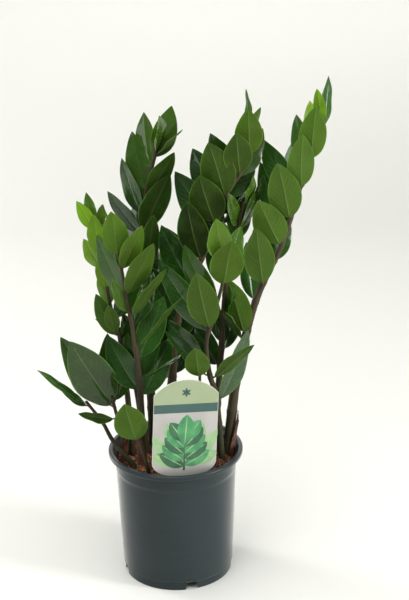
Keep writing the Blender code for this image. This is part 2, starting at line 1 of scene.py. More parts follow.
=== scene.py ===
"""Finishes the potted ZZ plant: pot, potting mix, label, sheaths, stems and every leaflet.

Laid out as an add-on and run as a script. Metres, +Z up, the front toward -Y. Stems and leaflets are
listed in millimetres and degrees, as the frame's solids were made from them.
"""
import math
import random
from collections import namedtuple

import bmesh
import bpy
from bpy.props import FloatProperty, FloatVectorProperty, IntProperty, PointerProperty
from bpy.types import Operator, Panel, PropertyGroup
from mathutils import Matrix, Vector, noise
from mathutils.bvhtree import BVHTree


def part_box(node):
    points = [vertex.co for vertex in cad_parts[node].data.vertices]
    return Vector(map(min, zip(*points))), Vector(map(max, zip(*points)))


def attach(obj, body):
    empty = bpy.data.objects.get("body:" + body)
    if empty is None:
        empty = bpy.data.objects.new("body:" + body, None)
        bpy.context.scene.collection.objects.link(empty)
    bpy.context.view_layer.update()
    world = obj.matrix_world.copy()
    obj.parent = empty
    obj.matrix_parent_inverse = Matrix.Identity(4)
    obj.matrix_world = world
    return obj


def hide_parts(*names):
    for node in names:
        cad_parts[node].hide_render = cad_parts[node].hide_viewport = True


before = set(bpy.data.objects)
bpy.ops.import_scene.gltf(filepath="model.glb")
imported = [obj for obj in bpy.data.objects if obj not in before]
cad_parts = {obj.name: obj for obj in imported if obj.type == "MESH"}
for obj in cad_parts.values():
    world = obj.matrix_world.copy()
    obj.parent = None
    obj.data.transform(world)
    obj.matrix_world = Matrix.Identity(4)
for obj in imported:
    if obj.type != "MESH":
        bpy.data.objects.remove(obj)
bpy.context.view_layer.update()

bl_info = {
    "name": "Potted ZZ Plant",
    "version": (1, 0, 0),
    "blender": (4, 5, 0),
    "location": "View3D > Sidebar > ZZ Plant",
    "description": "Builds a potted ZZ plant in detail around its packed frame",
    "category": "Add Mesh",
}

MM = 0.001
GAP = 0.3 * MM

# The pot, from the frame where it says, with the mould's own small sizes
POT_LOW, POT_HIGH = (Vector(corner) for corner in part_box("pot"))
PLACE = Vector(((POT_LOW.x + POT_HIGH.x) / 2, (POT_LOW.y + POT_HIGH.y) / 2, 0.0))
POT_HEIGHT = POT_HIGH.z
RIM_RADIUS = (POT_HIGH.x - POT_LOW.x) / 2
RIM_INNER_RADIUS = 0.0605
RIM_HEIGHT = 0.0048
WALL = 0.0013
WALL_TOP_RADIUS = 0.0588
WALL_FOOT_RADIUS = 0.0539
FOOT_RADIUS = 0.0524
FOOT_HEIGHT = 0.0095
FLOOR_THICKNESS = 0.0015
MOULD_LINE_DROP = 0.0135
MOULD_LINE_STEP = 0.00025
MOULD_LINE_RISE = 0.0004
MOULD_LINE_HEIGHT = 0.0009
SOFT_EDGE = 0.0004
GATE_INNER_RADIUS = 0.012
GATE_OUTER_RADIUS = 0.014
GATE_SLOPE = 0.0003
WALL_STEPS = 26
POT_SEGMENTS = 192
NOTCH_COUNT = 4
NOTCH_TURN = math.radians(15)
NOTCH_WIDTH_TOP = 0.009
NOTCH_WIDTH_FOOT = 0.013
NOTCH_HEIGHT = 0.0075
DRAIN_COUNT = 8
DRAIN_RADIUS = 0.0045
DRAIN_CIRCLE = 0.036

# The soil: the scales and weights of its clods, and its heaps as x, y, spread and height
CLODS = ((75.0, 0.75), (190.0, 0.6), (460.0, 0.45))
HEAPS = ((0.037, -0.017, 0.016, 0.0062), (-0.030, -0.022, 0.014, 0.0035))
SOIL_LAYERS = (0.004, 0.02, 0.06)
THREAD_STEPS = 6
SOIL_DROP = 0.012
SOIL_TOP = POT_HEIGHT - SOIL_DROP
SOIL_RINGS = 44
SOIL_SPOKES = 160

# The label
LABEL_WIDTH = 0.061
LABEL_BODY_HEIGHT = 0.071
LABEL_CROWN = 0.015
LABEL_TAPER = 0.012
LABEL_LIFT = 0.0195
LABEL_THICKNESS = 0.0006
FRAME_LABEL_THICKNESS = 0.0008
STAKE_WIDTH = 0.018
STAKE_DEPTH = 0.045
LABEL_X = 0.0075
LABEL_SET_BACK = 0.0055
LABEL_ROLL = math.radians(3)
LABEL_TURN = math.radians(11)
LABEL_SHOULDER = LABEL_LIFT + LABEL_BODY_HEIGHT
CROWN_STEPS = 28
FRAME_CROWN_STEPS = 10
INK_LAYER = 0.00004
BAND_DROP = 0.0095
BAND_HEIGHT = 0.0088
MARK_RADIUS = 0.0042
MARK_POINTS = 6
SPRIG_BACKS = ((-0.010, -0.62, 0.036), (0.010, 0.55, 0.040), (-0.008, -0.22, 0.044), (0.009, 0.20, 0.042),
               (-0.012, -1.05, 0.021), (0.012, 1.0, 0.022))

# Stems, leaflets and sheaths, as in the frame
STEM_STEPS_PER_SPAN = 3
STEM_FINE_STEPS = 12
STEM_SIDES = 8
STEM_FINE_SIDES = 20
STEM_TAPER_POWER = 1.2
ROOT_DEPTH = 0.012
ROOT_MARGIN = 0.0062
LEAFLET_THICKNESS = 0.0011
LEAFLET_FOLD = math.tan(math.radians(13))
LEAFLET_ARCH = 0.06
BLADE_BASE_POWER = 0.75
BLADE_TIP_POWER = 0.80
STALK_HALF = 0.00055
STALK_LENGTH = 0.004
STALK_OUTSET = 0.003
LEAFLET_STATIONS = (0.0, 0.1, 0.24, 0.41, 0.58, 0.75, 0.89)
SETTLE_STEP = 6
SETTLE_TRIES = 9
SHEATH_THICKNESS = 0.0008
SHEATH_GAP = 0.0005
SHEATH_NARROWING = 0.75
SOIL_MOUND = 0.0015
FRAME_POT_SEGMENTS = 64
FRAME_SHEATH_STATIONS = 6
FRAME_SHEATH_ARC_STEPS = 6

# How finely stems, sheaths and blades are made
STEM_RINGS = 90
SCAR_OFFSETS = (-1.6, -0.8, -0.3, 0.0, 0.3, 0.8, 1.6)
BARE_SCARS = (0.07, 0.16, 0.24)
SHEATH_ROWS = 26
SHEATH_ARCS = 30
STALK_SIDES = 8
STALK_STEPS = 5
MIDRIB_FOOT = [(0.5, 0.0)]
BLADE_ROWS = 26
BLADE_START = 0.0008
FULL_BASE_POWER = 0.63
DRAWN_TIP_POWER = 0.92
BLADE_COLUMNS = (-1, -0.93, -0.8, -0.63, -0.45, -0.27, -0.13, -0.05, 0, 0.05, 0.13, 0.27, 0.45, 0.63, 0.8,
                 0.93, 1)

# The stage: a floor that bends up into a backdrop, the soft lights and the camera
SWEEP_FRONT = -6.0
SWEEP_BACK = 3.2
SWEEP_BEND = 1.3
SWEEP_BEND_STEPS = 12
SWEEP_TOP = 5.0
SWEEP_HALF_WIDTH = 7.0
PLANT_MIDDLE = (0, 0, 0.26)
LIGHTS = (
    ("window_front", (-1.0, -1.9, 1.7), PLANT_MIDDLE, (1.4, 1.2), 0.50),
    ("strip_right", (1.4, -0.55, 0.5), PLANT_MIDDLE, (0.35, 1.3), 0.75),
    ("strip_left", (-1.6, 0.9, 0.7), PLANT_MIDDLE, (0.5, 1.4), 0.72),
    ("overhead", (-0.2, -0.35, 2.2), PLANT_MIDDLE, (1.7, 1.3), 0.95),
    ("backdrop_wash", (0.0, 1.6, 2.8), (0, 4.4, 2.2), (3.5, 1.2), 4.0),
)
SHADED_AIR = 0.2
CAMERA_AIM = (0.0304, 0.0, 0.2807)
CAMERA_ROLL = math.radians(-1.0)
LENS_LENGTH = 102.8
LENS_SENSOR = 36.0
LENS_REACH = 30.0

Leaflet = namedtuple("Leaflet", "height tilt lean turn length width")
Stem = namedtuple("Stem", "name root radius tip_radius loose route leaflets")
Sheath = namedtuple("Sheath", "stem facing span height")

STEMS = (
    Stem("right_stem", (0.98, 3), 5.6, 1.5, 4,
         ((3, 5, 24), (11, 10, 83), (29, 12, 156), (53, 12, 211), (69, 13, 262), (81, 13, 300),
          (92, 13, 332)),
         (Leaflet(119, -20, 14, 130, 34, 14), Leaflet(126, -15, 8, 190, 52, 27),
          Leaflet(155, -5, -18, 20, 50, 22), Leaflet(175, -6, 6, 185, 57, 29),
          Leaflet(185, -8, -38, 0, 50, 26), Leaflet(212, -22, 6, 175, 48, 31),
          Leaflet(225, -12, -40, 10, 50, 26), Leaflet(228, -22, -14, -15, 60, 24),
          Leaflet(238, -11, 7, 180, 56, 31), Leaflet(258, -32, -12, -15, 58, 24),
          Leaflet(262, -5, -38, 0, 46, 24), Leaflet(268, 0, 8, 190, 52, 26),
          Leaflet(288, -12, -14, -25, 42, 20), Leaflet(295, 4, 8, 185, 49, 26),
          Leaflet(308, -5, -18, -10, 36, 16), Leaflet(323, 10, -4, 45, 44, 16),
          Leaflet(330, -5, 6, 160, 28, 12), Leaflet(196, 14, -10, 20, 44, 22))),
    Stem("centre_stem", (0.23, 121), 5.2, 1.5, 4,
         ((4, 0, 78), (13, 0, 148), (42, -5, 221), (57, -5, 263), (79, -5, 300), (77, -5, 330)),
         (Leaflet(82, 12, -12, 15, 56, 26), Leaflet(98, -24, -10, 10, 58, 30),
          Leaflet(116, 10, -10, 10, 56, 28), Leaflet(138, -26, -12, 15, 56, 28),
          Leaflet(171, -16, -6, 10, 55, 33), Leaflet(178, -24, -20, 0, 54, 26),
          Leaflet(203, -10, 8, 178, 60, 29), Leaflet(215, 8, -42, 0, 50, 26),
          Leaflet(232, 42, -6, 60, 54, 14), Leaflet(233, -35, -14, -12, 56, 30),
          Leaflet(239, -14, 8, 175, 48, 33), Leaflet(245, 27, -14, 25, 55, 20),
          Leaflet(255, -28, -12, -10, 52, 30), Leaflet(262, 10, -42, 0, 48, 26),
          Leaflet(264, -14, 8, 180, 54, 32), Leaflet(278, -25, -14, -15, 45, 24),
          Leaflet(285, -5, 8, 185, 42, 27), Leaflet(303, 4, 8, 190, 40, 26),
          Leaflet(320, 18, -8, 200, 27, 16), Leaflet(326, 8, 0, 60, 32, 12),
          Leaflet(283, 24, -12, 20, 44, 22))),
    Stem("back_left_stem", (0.66, 130), 5.0, 1.5, 4,
         ((-2, 2, 83), (-1, 4, 184), (-6, 4, 223), (0, 4, 263), (8, 4, 294), (14, 4, 320)),
         (Leaflet(66, 26, -8, 15, 60, 28), Leaflet(76, -20, -8, -10, 58, 26),
          Leaflet(96, 16, -8, 20, 62, 30), Leaflet(110, -10, -12, 0, 54, 26),
          Leaflet(133, 22, -8, 20, 60, 30), Leaflet(160, 0, -40, 0, 54, 26),
          Leaflet(186, 5, 8, 200, 56, 20), Leaflet(200, -10, -42, 0, 52, 26),
          Leaflet(221, -38, -5, -30, 44, 20), Leaflet(225, 23, 8, 195, 58, 26),
          Leaflet(235, 5, -40, 0, 50, 24), Leaflet(239, -20, -8, -40, 50, 22),
          Leaflet(261, 28, 8, 200, 46, 20), Leaflet(263, -13, -10, -15, 50, 24),
          Leaflet(283, -8, -8, -20, 48, 22), Leaflet(294, 18, 0, 10, 46, 24),
          Leaflet(298, 38, 5, 240, 30, 10), Leaflet(300, 8, -20, 10, 44, 20))),
    Stem("left_front_stem", (0.73, 213), 4.2, 1.3, 4,
         ((0, -5, 72), (-3, -8, 128), (-10, -10, 182), (-15, -10, 218), (-18, -10, 235)),
         (Leaflet(97, 60, 0, 60, 42, 14), Leaflet(100, 12, -14, 25, 62, 26),
          Leaflet(130, 33, 4, 235, 62, 11), Leaflet(151, 22, -12, 30, 46, 18),
          Leaflet(161, 29, 6, 220, 56, 15), Leaflet(166, -20, 5, 210, 34, 12),
          Leaflet(179, -25, -8, -28, 58, 22), Leaflet(184, 23, 8, 200, 56, 22),
          Leaflet(203, -20, -10, -25, 56, 22), Leaflet(208, 20, 8, 200, 46, 20),
          Leaflet(222, -5, 6, 180, 42, 24), Leaflet(78, 30, -20, 10, 56, 26),
          Leaflet(118, 25, -25, 5, 56, 26), Leaflet(84, -28, -15, 0, 54, 26))),
    Stem("far_left_stem", (0.84, 173), 3.6, 1.2, 4,
         ((-2, -7, 63), (-7, -13, 128), (-14, -15, 158), (-20, -15, 203), (-26, -15, 245)),
         (Leaflet(135, -18, 6, 180, 46, 18), Leaflet(139, -8, -10, 150, 34, 14),
          Leaflet(163, -8, -8, -20, 36, 18), Leaflet(183, -5, 6, 175, 30, 16),
          Leaflet(190, 15, -10, 20, 40, 18), Leaflet(201, -30, -6, -10, 27, 16),
          Leaflet(215, 15, -8, 20, 36, 16), Leaflet(216, -5, 6, 170, 36, 18),
          Leaflet(240, -20, 4, 190, 26, 13), Leaflet(241, 15, 5, 160, 20, 10),
          Leaflet(243, -12, -8, 0, 26, 11), Leaflet(112, 22, -12, 10, 48, 20),
          Leaflet(150, 28, -8, 10, 46, 20))),
    Stem("left_back_stem", (0.59, 160), 3.6, 1.2, 3,
         ((-10, -2, 83), (-16, -5, 133), (-22, -5, 173), (-26, -5, 203)),
         (Leaflet(133, -65, -4, 40, 22, 7), Leaflet(150, 15, -12, 20, 44, 18),
          Leaflet(170, -12, -15, 0, 44, 20), Leaflet(190, 5, -12, 10, 44, 20),
          Leaflet(200, -15, -20, 0, 40, 18))),
    Stem("front_stem", (0.92, 341), 3.8, 1.3, 4,
         ((-4, -5, 71), (-10, -10, 98), (-13, -15, 131), (-7, -15, 155), (2, -15, 188), (8, -15, 218)),
         (Leaflet(69, 25, -10, 40, 66, 28), Leaflet(96, 42, 6, 205, 48, 16),
          Leaflet(98, -40, -6, 60, 52, 13), Leaflet(118, -50, -16, -10, 45, 18),
          Leaflet(145, -33, -2, 0, 75, 24), Leaflet(149, -10, 8, 180, 58, 29),
          Leaflet(168, -26, -8, -15, 58, 24), Leaflet(192, 9, 8, 185, 44, 31),
          Leaflet(200, 20, -20, 10, 42, 20), Leaflet(214, -12, 4, 205, 40, 25))),
    Stem("middle_stem", (0.74, 11), 4.4, 1.3, 4,
         ((5, 1, 63), (9, 3, 113), (13, 3, 168), (20, 3, 198), (27, 5, 233), (32, 5, 255)),
         (Leaflet(108, 20, -28, 10, 48, 18), Leaflet(115, -8, -8, -40, 55, 18),
          Leaflet(145, 12, -6, 30, 38, 15), Leaflet(173, -5, -30, 0, 48, 22),
          Leaflet(218, 6, -4, 10, 50, 24), Leaflet(228, 25, -8, 50, 52, 16),
          Leaflet(232, -8, -14, 5, 42, 17), Leaflet(252, 15, -15, 10, 30, 12),
          Leaflet(92, -30, -18, 0, 50, 24), Leaflet(195, -20, -12, 0, 48, 22))),
    Stem("short_left_stem", (1.0, 187), 2.6, 1.5, 5,
         ((0, -5, 32), (-3, -9, 47), (-8, -13, 73)),
         (Leaflet(51, -72, 20, 250, 32, 13), Leaflet(64, -38, -14, -10, 76, 34),
          Leaflet(67, -26, 6, 5, 72, 41), Leaflet(68, 12, -2, 30, 64, 24),
          Leaflet(70, -2, -14, 15, 58, 26))),
    Stem("leaning_stem", (0.90, 214), 3.0, 1.4, 2,
         ((-8, 2, 12), (-22, 11, 27), (-31, 13, 45), (-46, 14, 67)),
         (Leaflet(63, -45, 5, 40, 28, 9),
          Leaflet(68, -38, 2, 70, 55, 14))),
    Stem("small_front_stem", (0.97, 241), 2.2, 1.3, 1,
         ((-3, -3, 18), (-10, -5, 46)),
         (Leaflet(45, -12, 6, 180, 40, 31),)),
    Stem("small_middle_stem", (0.81, 299), 2.2, 1.3, 1,
         ((4, 0, 53), (5, 0, 106)),
         (Leaflet(103, -5, 6, 180, 29, 23),)),
)

SHEATHS = (
    Sheath("left_front_stem", 235, 150, 48),
    Sheath("short_left_stem", 300, 160, 40),
    Sheath("middle_stem", 265, 120, 72),
    Sheath("right_stem", 330, 90, 46),
    Sheath("centre_stem", 200, 140, 42),
)

# How young some leaflets are, by their stem's name and their height
YOUNG = {("right_stem", 308): 1.0, ("right_stem", 330): 0.75, ("right_stem", 323): 0.0,
         ("centre_stem", 326): 0.1, ("centre_stem", 320): 0.1, ("back_left_stem", 300): 0.2,
         ("far_left_stem", 216): 0.6, ("far_left_stem", 240): 0.75, ("far_left_stem", 201): 0.8,
         ("far_left_stem", 183): 0.5, ("far_left_stem", 163): 0.6}

# How light the leaflets of each stem are, from 0 to 1
LEAF_TONE = {"right_stem": 0.88, "centre_stem": 0.08, "back_left_stem": 0.30, "left_front_stem": 0.50,
             "far_left_stem": 0.55, "left_back_stem": 0.2, "front_stem": 0.5, "middle_stem": 0.25,
             "short_left_stem": 0.15, "leaning_stem": 0.5, "small_front_stem": 0.55,
             "small_middle_stem": 0.65}

# How brown each stem is, from 0 for the greenest to 1
STEM_BROWN = (0.45, 0.95, 0.25, 0.35, 0.30, 0.25, 0.30, 0.30, 0.20, 0.25, 0.20, 0.40)


# ---------------------------------------------------------------- settings

COLOUR = {"size": 3, "min": 0.0, "max": 1.0, "subtype": "COLOR"}
LENGTH = {"precision": 4, "subtype": "DISTANCE", "unit": "LENGTH"}


class ZZLeafSettings(PropertyGroup):
    """Sizes and colours of the leaflets and stems."""
    thickness: FloatProperty(name="Thickness", description="How thick a leaflet is at its midrib",
                             default=0.0011, min=0.0003, max=0.003, **LENGTH)
    waviness: FloatProperty(name="Waviness", description="How far a leaflet's margin waves up and down",
                            default=0.0008, min=0.0, max=0.003, **LENGTH)
    fold: FloatProperty(name="Fold", description="How far each half is raised from the midrib",
                        default=math.radians(7), min=0.0, max=math.radians(45), subtype="ANGLE")
    arch: FloatProperty(name="Arch", description="How far the tip bends back, as a share of the length",
                        default=0.09, min=0.0, max=0.3, subtype="FACTOR")
    leaf_upper: FloatVectorProperty(name="Upper face", description="Green of the glossy upper faces",
                                    default=(0.0120, 0.048, 0.0040), **COLOUR)
    leaf_under: FloatVectorProperty(name="Under face", description="Green of the matte under faces",
                                    default=(0.034, 0.066, 0.0075), **COLOUR)
    leaf_young: FloatVectorProperty(name="Young leaflets", description="Lime green of the youngest leaflets",
                                    default=(0.20, 0.38, 0.016), **COLOUR)
    stem_green: FloatVectorProperty(name="Green stem", description="Colour of the greenest stems",
                                    default=(0.025, 0.030, 0.011), **COLOUR)
    stem_brown: FloatVectorProperty(name="Brown stem", description="Colour of the brownest stems",
                                    default=(0.092, 0.064, 0.038), **COLOUR)


class ZZPotSettings(PropertyGroup):
    """Sizes and colour of the nursery pot."""
    pot_colour: FloatVectorProperty(name="Plastic", description="Grey-green of the pot",
                                    default=(0.027, 0.039, 0.042), **COLOUR)
    bead: FloatProperty(name="Rim roundness", description="How round the rim's edges are",
                        default=0.0013, min=0.0003, max=0.002, **LENGTH)


class ZZSoilSettings(PropertyGroup):
    """The potting mix and what lies on it."""
    roughness: FloatProperty(name="Roughness", description="How far crumbs rise and sink in the surface",
                             default=0.0020, min=0.0, max=0.004, **LENGTH)
    threads: IntProperty(name="Coir threads", description="How many threads lie on the surface",
                         default=950, min=0, max=4000)
    crumbs: IntProperty(name="Crumbs", description="How many crumbs lie on the surface",
                        default=620, min=0, max=3000)


class ZZLabelSettings(PropertyGroup):
    """The printed label."""
    card_colour: FloatVectorProperty(name="Card", description="Sage green of the label",
                                     default=(0.33, 0.40, 0.235), **COLOUR)
    band_colour: FloatVectorProperty(name="Band", description="Dark teal of the label's band",
                                     default=(0.030, 0.085, 0.075), **COLOUR)
    leaf_pairs: IntProperty(name="Leaf pairs", description="Pairs of leaves on the printed sprig",
                            default=5, min=1, max=9)


class ZZStageSettings(PropertyGroup):
    """Floor, lights and camera."""
    floor_colour: FloatVectorProperty(name="Floor", description="Colour of the pale floor",
                                      default=(0.85, 0.85, 0.80), **COLOUR)
    light: FloatProperty(name="Light", description="Strength of the main soft light",
                         default=30.0, min=0.0, max=500.0, unit="POWER")
    air: FloatProperty(name="Air", description="Brightness of the light from all round",
                       default=0.42, min=0.0, max=5.0, subtype="FACTOR")
    rise: FloatProperty(name="Camera height", description="How far the camera looks down",
                        default=math.radians(21.85), min=0.0, max=math.radians(80), subtype="ANGLE")
    distance: FloatProperty(name="Camera distance", description="From the camera to the plant",
                            default=1.6, min=0.5, max=5.0, subtype="DISTANCE", unit="LENGTH")


# ---------------------------------------------------------------- shapes

def clamp(value):
    return min(max(value, 0), 1)


def scaled(colour, factor):
    """A colour made lighter or darker by a factor, at most 1."""
    return tuple(min(factor * part, 1.0) for part in colour)


def bridge(made, lower, upper):
    """Joins two closed rings of corners by a band of faces."""
    for here in range(len(lower)):
        after = (here + 1) % len(lower)
        made.faces.new((lower[here], lower[after], upper[after], upper[here]))


def fan(made, ring, point):
    """Closes a ring of corners to one point."""
    for here in range(len(ring)):
        made.faces.new((ring[here], ring[(here + 1) % len(ring)], point))


def skin(sections, tip=None):
    """Joins closed sections of equal length into one body, with flat ends or a pointed tip."""
    made = bmesh.new()
    rings = [[made.verts.new(point) for point in section] for section in sections]
    for lower, upper in zip(rings, rings[1:]):
        bridge(made, lower, upper)
    made.faces.new(reversed(rings[0]))
    if tip is None:
        made.faces.new(rings[-1])
    else:
        fan(made, rings[-1], made.verts.new(tip))
    return made


def turned(profile, segments):
    """Turns a closed outline of radius and height around Z. Points on the axis become one point."""
    made = bmesh.new()
    rings = []
    for radius, height in profile:
        if radius == 0:
            rings.append([made.verts.new((0, 0, height))] * segments)
            continue
        angles = [2 * math.pi * step / segments for step in range(segments)]
        rings.append([made.verts.new((radius * math.cos(a), radius * math.sin(a), height)) for a in angles])
    for index, lower in enumerate(rings):
        upper = rings[(index + 1) % len(rings)]
        for here in range(segments):
            after = (here + 1) % segments
            corners = []
            for corner in (lower[here], lower[after], upper[after], upper[here]):
                if corner not in corners:
                    corners.append(corner)
            if len(corners) > 2:
                made.faces.new(corners)
    return made


def object_of(name, shape):
    """Turns a bmesh, which is used up, into an object of the scene."""
    mesh = bpy.data.meshes.new(name)
    shape.to_mesh(mesh)
    shape.free()
    made = bpy.data.objects.new(name, mesh)
    bpy.context.scene.collection.objects.link(made)
    return made


def piece(name, shape, surfaces, smooth):
    """Turns a bmesh into one visible piece on the frame's body, with creases sharper than smooth degrees."""
    bmesh.ops.recalc_face_normals(shape, faces=shape.faces)
    bmesh.ops.translate(shape, verts=shape.verts, vec=PLACE)
    made = object_of(name, shape)
    for surface in surfaces:
        made.data.materials.append(surface)
    made.data.shade_smooth()
    if smooth < 180:
        made.data.set_sharp_from_angle(angle=math.radians(smooth))
    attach(made, "root")
    return made


def finish_of(name, builder, *settings):
    """The finish of that name, made the first time; the frame's own materials are never taken for it."""
    made = bpy.data.materials.get(name)
    if made is None:
        made = builder(*settings)
        made["zz_finish"] = True
    if "zz_finish" not in made:
        raise RuntimeError(f"the frame already has a material named {name}")
    return made


def wobble(point, scale, seed):
    """Smooth noise from about -1 to 1 at a point, the same in every run."""
    return noise.noise(Vector(point) * scale + Vector((seed * 3.7, seed * -1.9, seed * 2.3)))


# ---------------------------------------------------------------- the frame's own courses

def wall_inner_radius(height):
    """The pot's inside at a height, between the ledge and the rim."""
    rise = (height - FOOT_HEIGHT) / (POT_HEIGHT - RIM_HEIGHT - FOOT_HEIGHT)
    return WALL_FOOT_RADIUS + rise * (WALL_TOP_RADIUS - WALL_FOOT_RADIUS) - WALL


SOIL_RADIUS = wall_inner_radius(SOIL_TOP) - GAP


def smooth_route(points, steps):
    """Points along a smooth curve through all the given ones."""
    ends = [2 * points[0] - points[1], *points, 2 * points[-1] - points[-2]]
    route = []
    for before, start, end, after in zip(ends, ends[1:], ends[2:], ends[3:]):
        for step in range(steps):
            t = step / steps
            pull = (2 * start + (end - before) * t + (2 * before - 5 * start + 4 * end - after) * t * t
                    + (3 * start - before - 3 * end + after) * t ** 3)
            route.append(pull / 2)
    return route + [points[-1]]


def span_at(values, level):
    """Which span of a rising list holds a level, and the share along that span."""
    for index, (lower, upper) in enumerate(zip(values, values[1:])):
        if level <= upper or index == len(values) - 2:
            return index, clamp((level - lower) / (upper - lower))


class Rachis:
    """A stem's course from its foot in the soil to its tip, and its radius along it."""

    def __init__(self, stem, steps=STEM_STEPS_PER_SPAN):
        share, direction = stem.root
        angle = math.radians(direction)
        reach = share * (SOIL_RADIUS - ROOT_MARGIN)
        root = Vector((reach * math.cos(angle), reach * math.sin(angle), SOIL_TOP))
        knots = [root - Vector((0, 0, ROOT_DEPTH)), root]
        knots += [root + Vector(offset) * MM for offset in stem.route]
        self.points = smooth_route(knots, steps)
        self.stem = stem
        self.lengths = [0.0]
        for lower, upper in zip(self.points, self.points[1:]):
            self.lengths.append(self.lengths[-1] + (upper - lower).length)
        slim = [(1 - length / self.lengths[-1]) ** STEM_TAPER_POWER for length in self.lengths]
        self.radii = [(stem.tip_radius + (stem.radius - stem.tip_radius) * share) * MM for share in slim]

    def tangent(self, index):
        before = self.points[max(index - 1, 0)]
        after = self.points[min(index + 1, len(self.points) - 1)]
        return (after - before).normalized()

    def between(self, values, index, share):
        return values[index] + share * (values[index + 1] - values[index])

    def at(self, height):
        """The middle, direction and radius at a height over the soil."""
        index, share = span_at([point.z for point in self.points], SOIL_TOP + height)
        lower, upper = self.points[index:index + 2]
        radius = self.between(self.radii, index, share)
        return lower.lerp(upper, share), (upper - lower).normalized(), radius

    def at_length(self, length):
        """The middle, direction and radius at a length along the stem."""
        index, share = span_at(self.lengths, length)
        along = self.tangent(index).lerp(self.tangent(index + 1), share).normalized()
        middle = self.points[index].lerp(self.points[index + 1], share)
        return middle, along, self.between(self.radii, index, share)

    def length_at(self, height):
        """The length along the stem at a height over the soil."""
        index, share = span_at([point.z for point in self.points], SOIL_TOP + height)
        return self.between(self.lengths, index, share)

    def tube(self, grow=0.0):
        sections = []
        for index, point in enumerate(self.points):
            along = self.tangent(index)
            side = Vector((0, 1, 0)).cross(along).normalized()
            front = along.cross(side)
            radius = self.radii[index] + grow
            angles = [2 * math.pi * step / STEM_SIDES for step in range(STEM_SIDES)]
            sections.append([point + radius * (side * math.cos(a) + front * math.sin(a)) for a in angles])
        lowest = min(corner.z for corner in sections[0])
        for corner in sections[0]:
            corner.z = lowest - grow
        return skin(sections)


def blade_half_width(share, base=BLADE_BASE_POWER, tip=BLADE_TIP_POWER):
    """Half the blade's width at a share of its length, as a share of its full half width."""
    widest = base / (base + tip)
    fullest = widest ** base * (1 - widest) ** tip
    return share ** base * (1 - share) ** tip / fullest


def blade_axes(leaflet):
    """The directions along the blade, across it and out of its upper face."""
    tilt, lean, turn = (math.radians(angle) for angle in (leaflet.tilt, leaflet.lean, leaflet.turn))
    along = Vector((math.sin(tilt) * math.cos(lean), -math.sin(lean), math.cos(tilt) * math.cos(lean)))
    front = Vector((0, -1, 0))
    front = (front - along * front.dot(along)).normalized()
    upper = front * math.cos(turn) + along.cross(front) * math.sin(turn)
    return along, along.cross(upper), upper


def blade_base(rachis, leaflet, joined):
    """Where the leaflet's stalk starts, and the way it leaves the stem."""
    middle, direction, radius = rachis.at(leaflet.height * MM)
    out = Vector((2 * math.sin(math.radians(leaflet.tilt)), 0.8 * math.cos(math.radians(leaflet.turn)), 0))
    out = (out - direction * out.dot(direction)).normalized()
    stand_off = radius / 2 if joined else radius + GAP + STALK_HALF
    return middle + out * stand_off, out


def frame_blade(rachis, leaflet, joined, grow):
    """A leaflet as the frame has it, in a few flat faces."""
    along, across, upper = blade_axes(leaflet)
    base, out = blade_base(rachis, leaflet, joined)
    length = leaflet.length * MM
    half = leaflet.width * MM / 2
    sections = [[base + across * STALK_HALF, base + upper * STALK_HALF,
                 base - across * STALK_HALF, base - upper * STALK_HALF]]
    for share in LEAFLET_STATIONS:
        run = STALK_LENGTH + length * share
        middle = base + out * STALK_OUTSET + along * run - upper * length * LEAFLET_ARCH * share ** 2
        reach = max(half * blade_half_width(share), STALK_HALF) + grow
        lift = upper * LEAFLET_FOLD * reach
        body = LEAFLET_THICKNESS / 2 + grow
        sections.append([middle + across * reach + lift, middle + upper * body,
                         middle - across * reach + lift, middle - upper * body])
    tip = base + out * STALK_OUTSET + along * (STALK_LENGTH + length + grow) - upper * length * LEAFLET_ARCH
    return skin(sections, tip)


def frame_sheath(rachis, sheath):
    """A sheath as the frame has it."""
    sections = []
    for station in range(FRAME_SHEATH_STATIONS):
        share = station / (FRAME_SHEATH_STATIONS - 1)
        middle, along, radius = rachis.at(GAP + share * sheath.height * MM)
        side = Vector((0, 1, 0)).cross(along).normalized()
        back = along.cross(side)
        half_span = math.radians(sheath.span / 2) * (1 - SHEATH_NARROWING * share ** 2)
        outer = []
        inner = []
        for step in range(FRAME_SHEATH_ARC_STEPS + 1):
            angle = math.radians(sheath.facing) + half_span * (2 * step / FRAME_SHEATH_ARC_STEPS - 1)
            way = side * math.cos(angle) + back * math.sin(angle)
            inner.append(middle + way * (radius + SHEATH_GAP))
            outer.append(middle + way * (radius + SHEATH_GAP + SHEATH_THICKNESS))
        sections.append(outer + inner[::-1])
    for corner in sections[0]:
        corner.z = SOIL_TOP + SOIL_MOUND + GAP
    return skin(sections)


def tree_of(shape):
    """A search tree of a shape, with its box, which is used up."""
    corners = [vertex.co for vertex in shape.verts]
    box = [(min(c[axis] for c in corners), max(c[axis] for c in corners)) for axis in range(3)]
    found = BVHTree.FromBMesh(shape)
    shape.free()
    return found, box


def touches(one, other):
    """Whether two trees cross each other."""
    apart = any(low > high_other or low_other > high
                for (low, high), (low_other, high_other) in zip(one[1], other[1]))
    return not apart and bool(one[0].overlap(other[0]))


def settling_turns():
    """Changes of tilt, lean and turn, from none to the largest, in a fixed order."""
    yield 0, 0, 0
    for step in range(1, SETTLE_TRIES + 1):
        far = step * SETTLE_STEP
        for tilt, lean, turn in ((0, 1, 0), (0, -1, 0), (0, 0, 1), (0, 0, -1), (0, 1, 1), (0, -1, -1),
                                 (0, 1, -1), (0, -1, 1), (1, 0, 0), (-1, 0, 0), (1, 1, 0), (-1, -1, 0)):
            yield tilt * far / 2, lean * far, turn * far


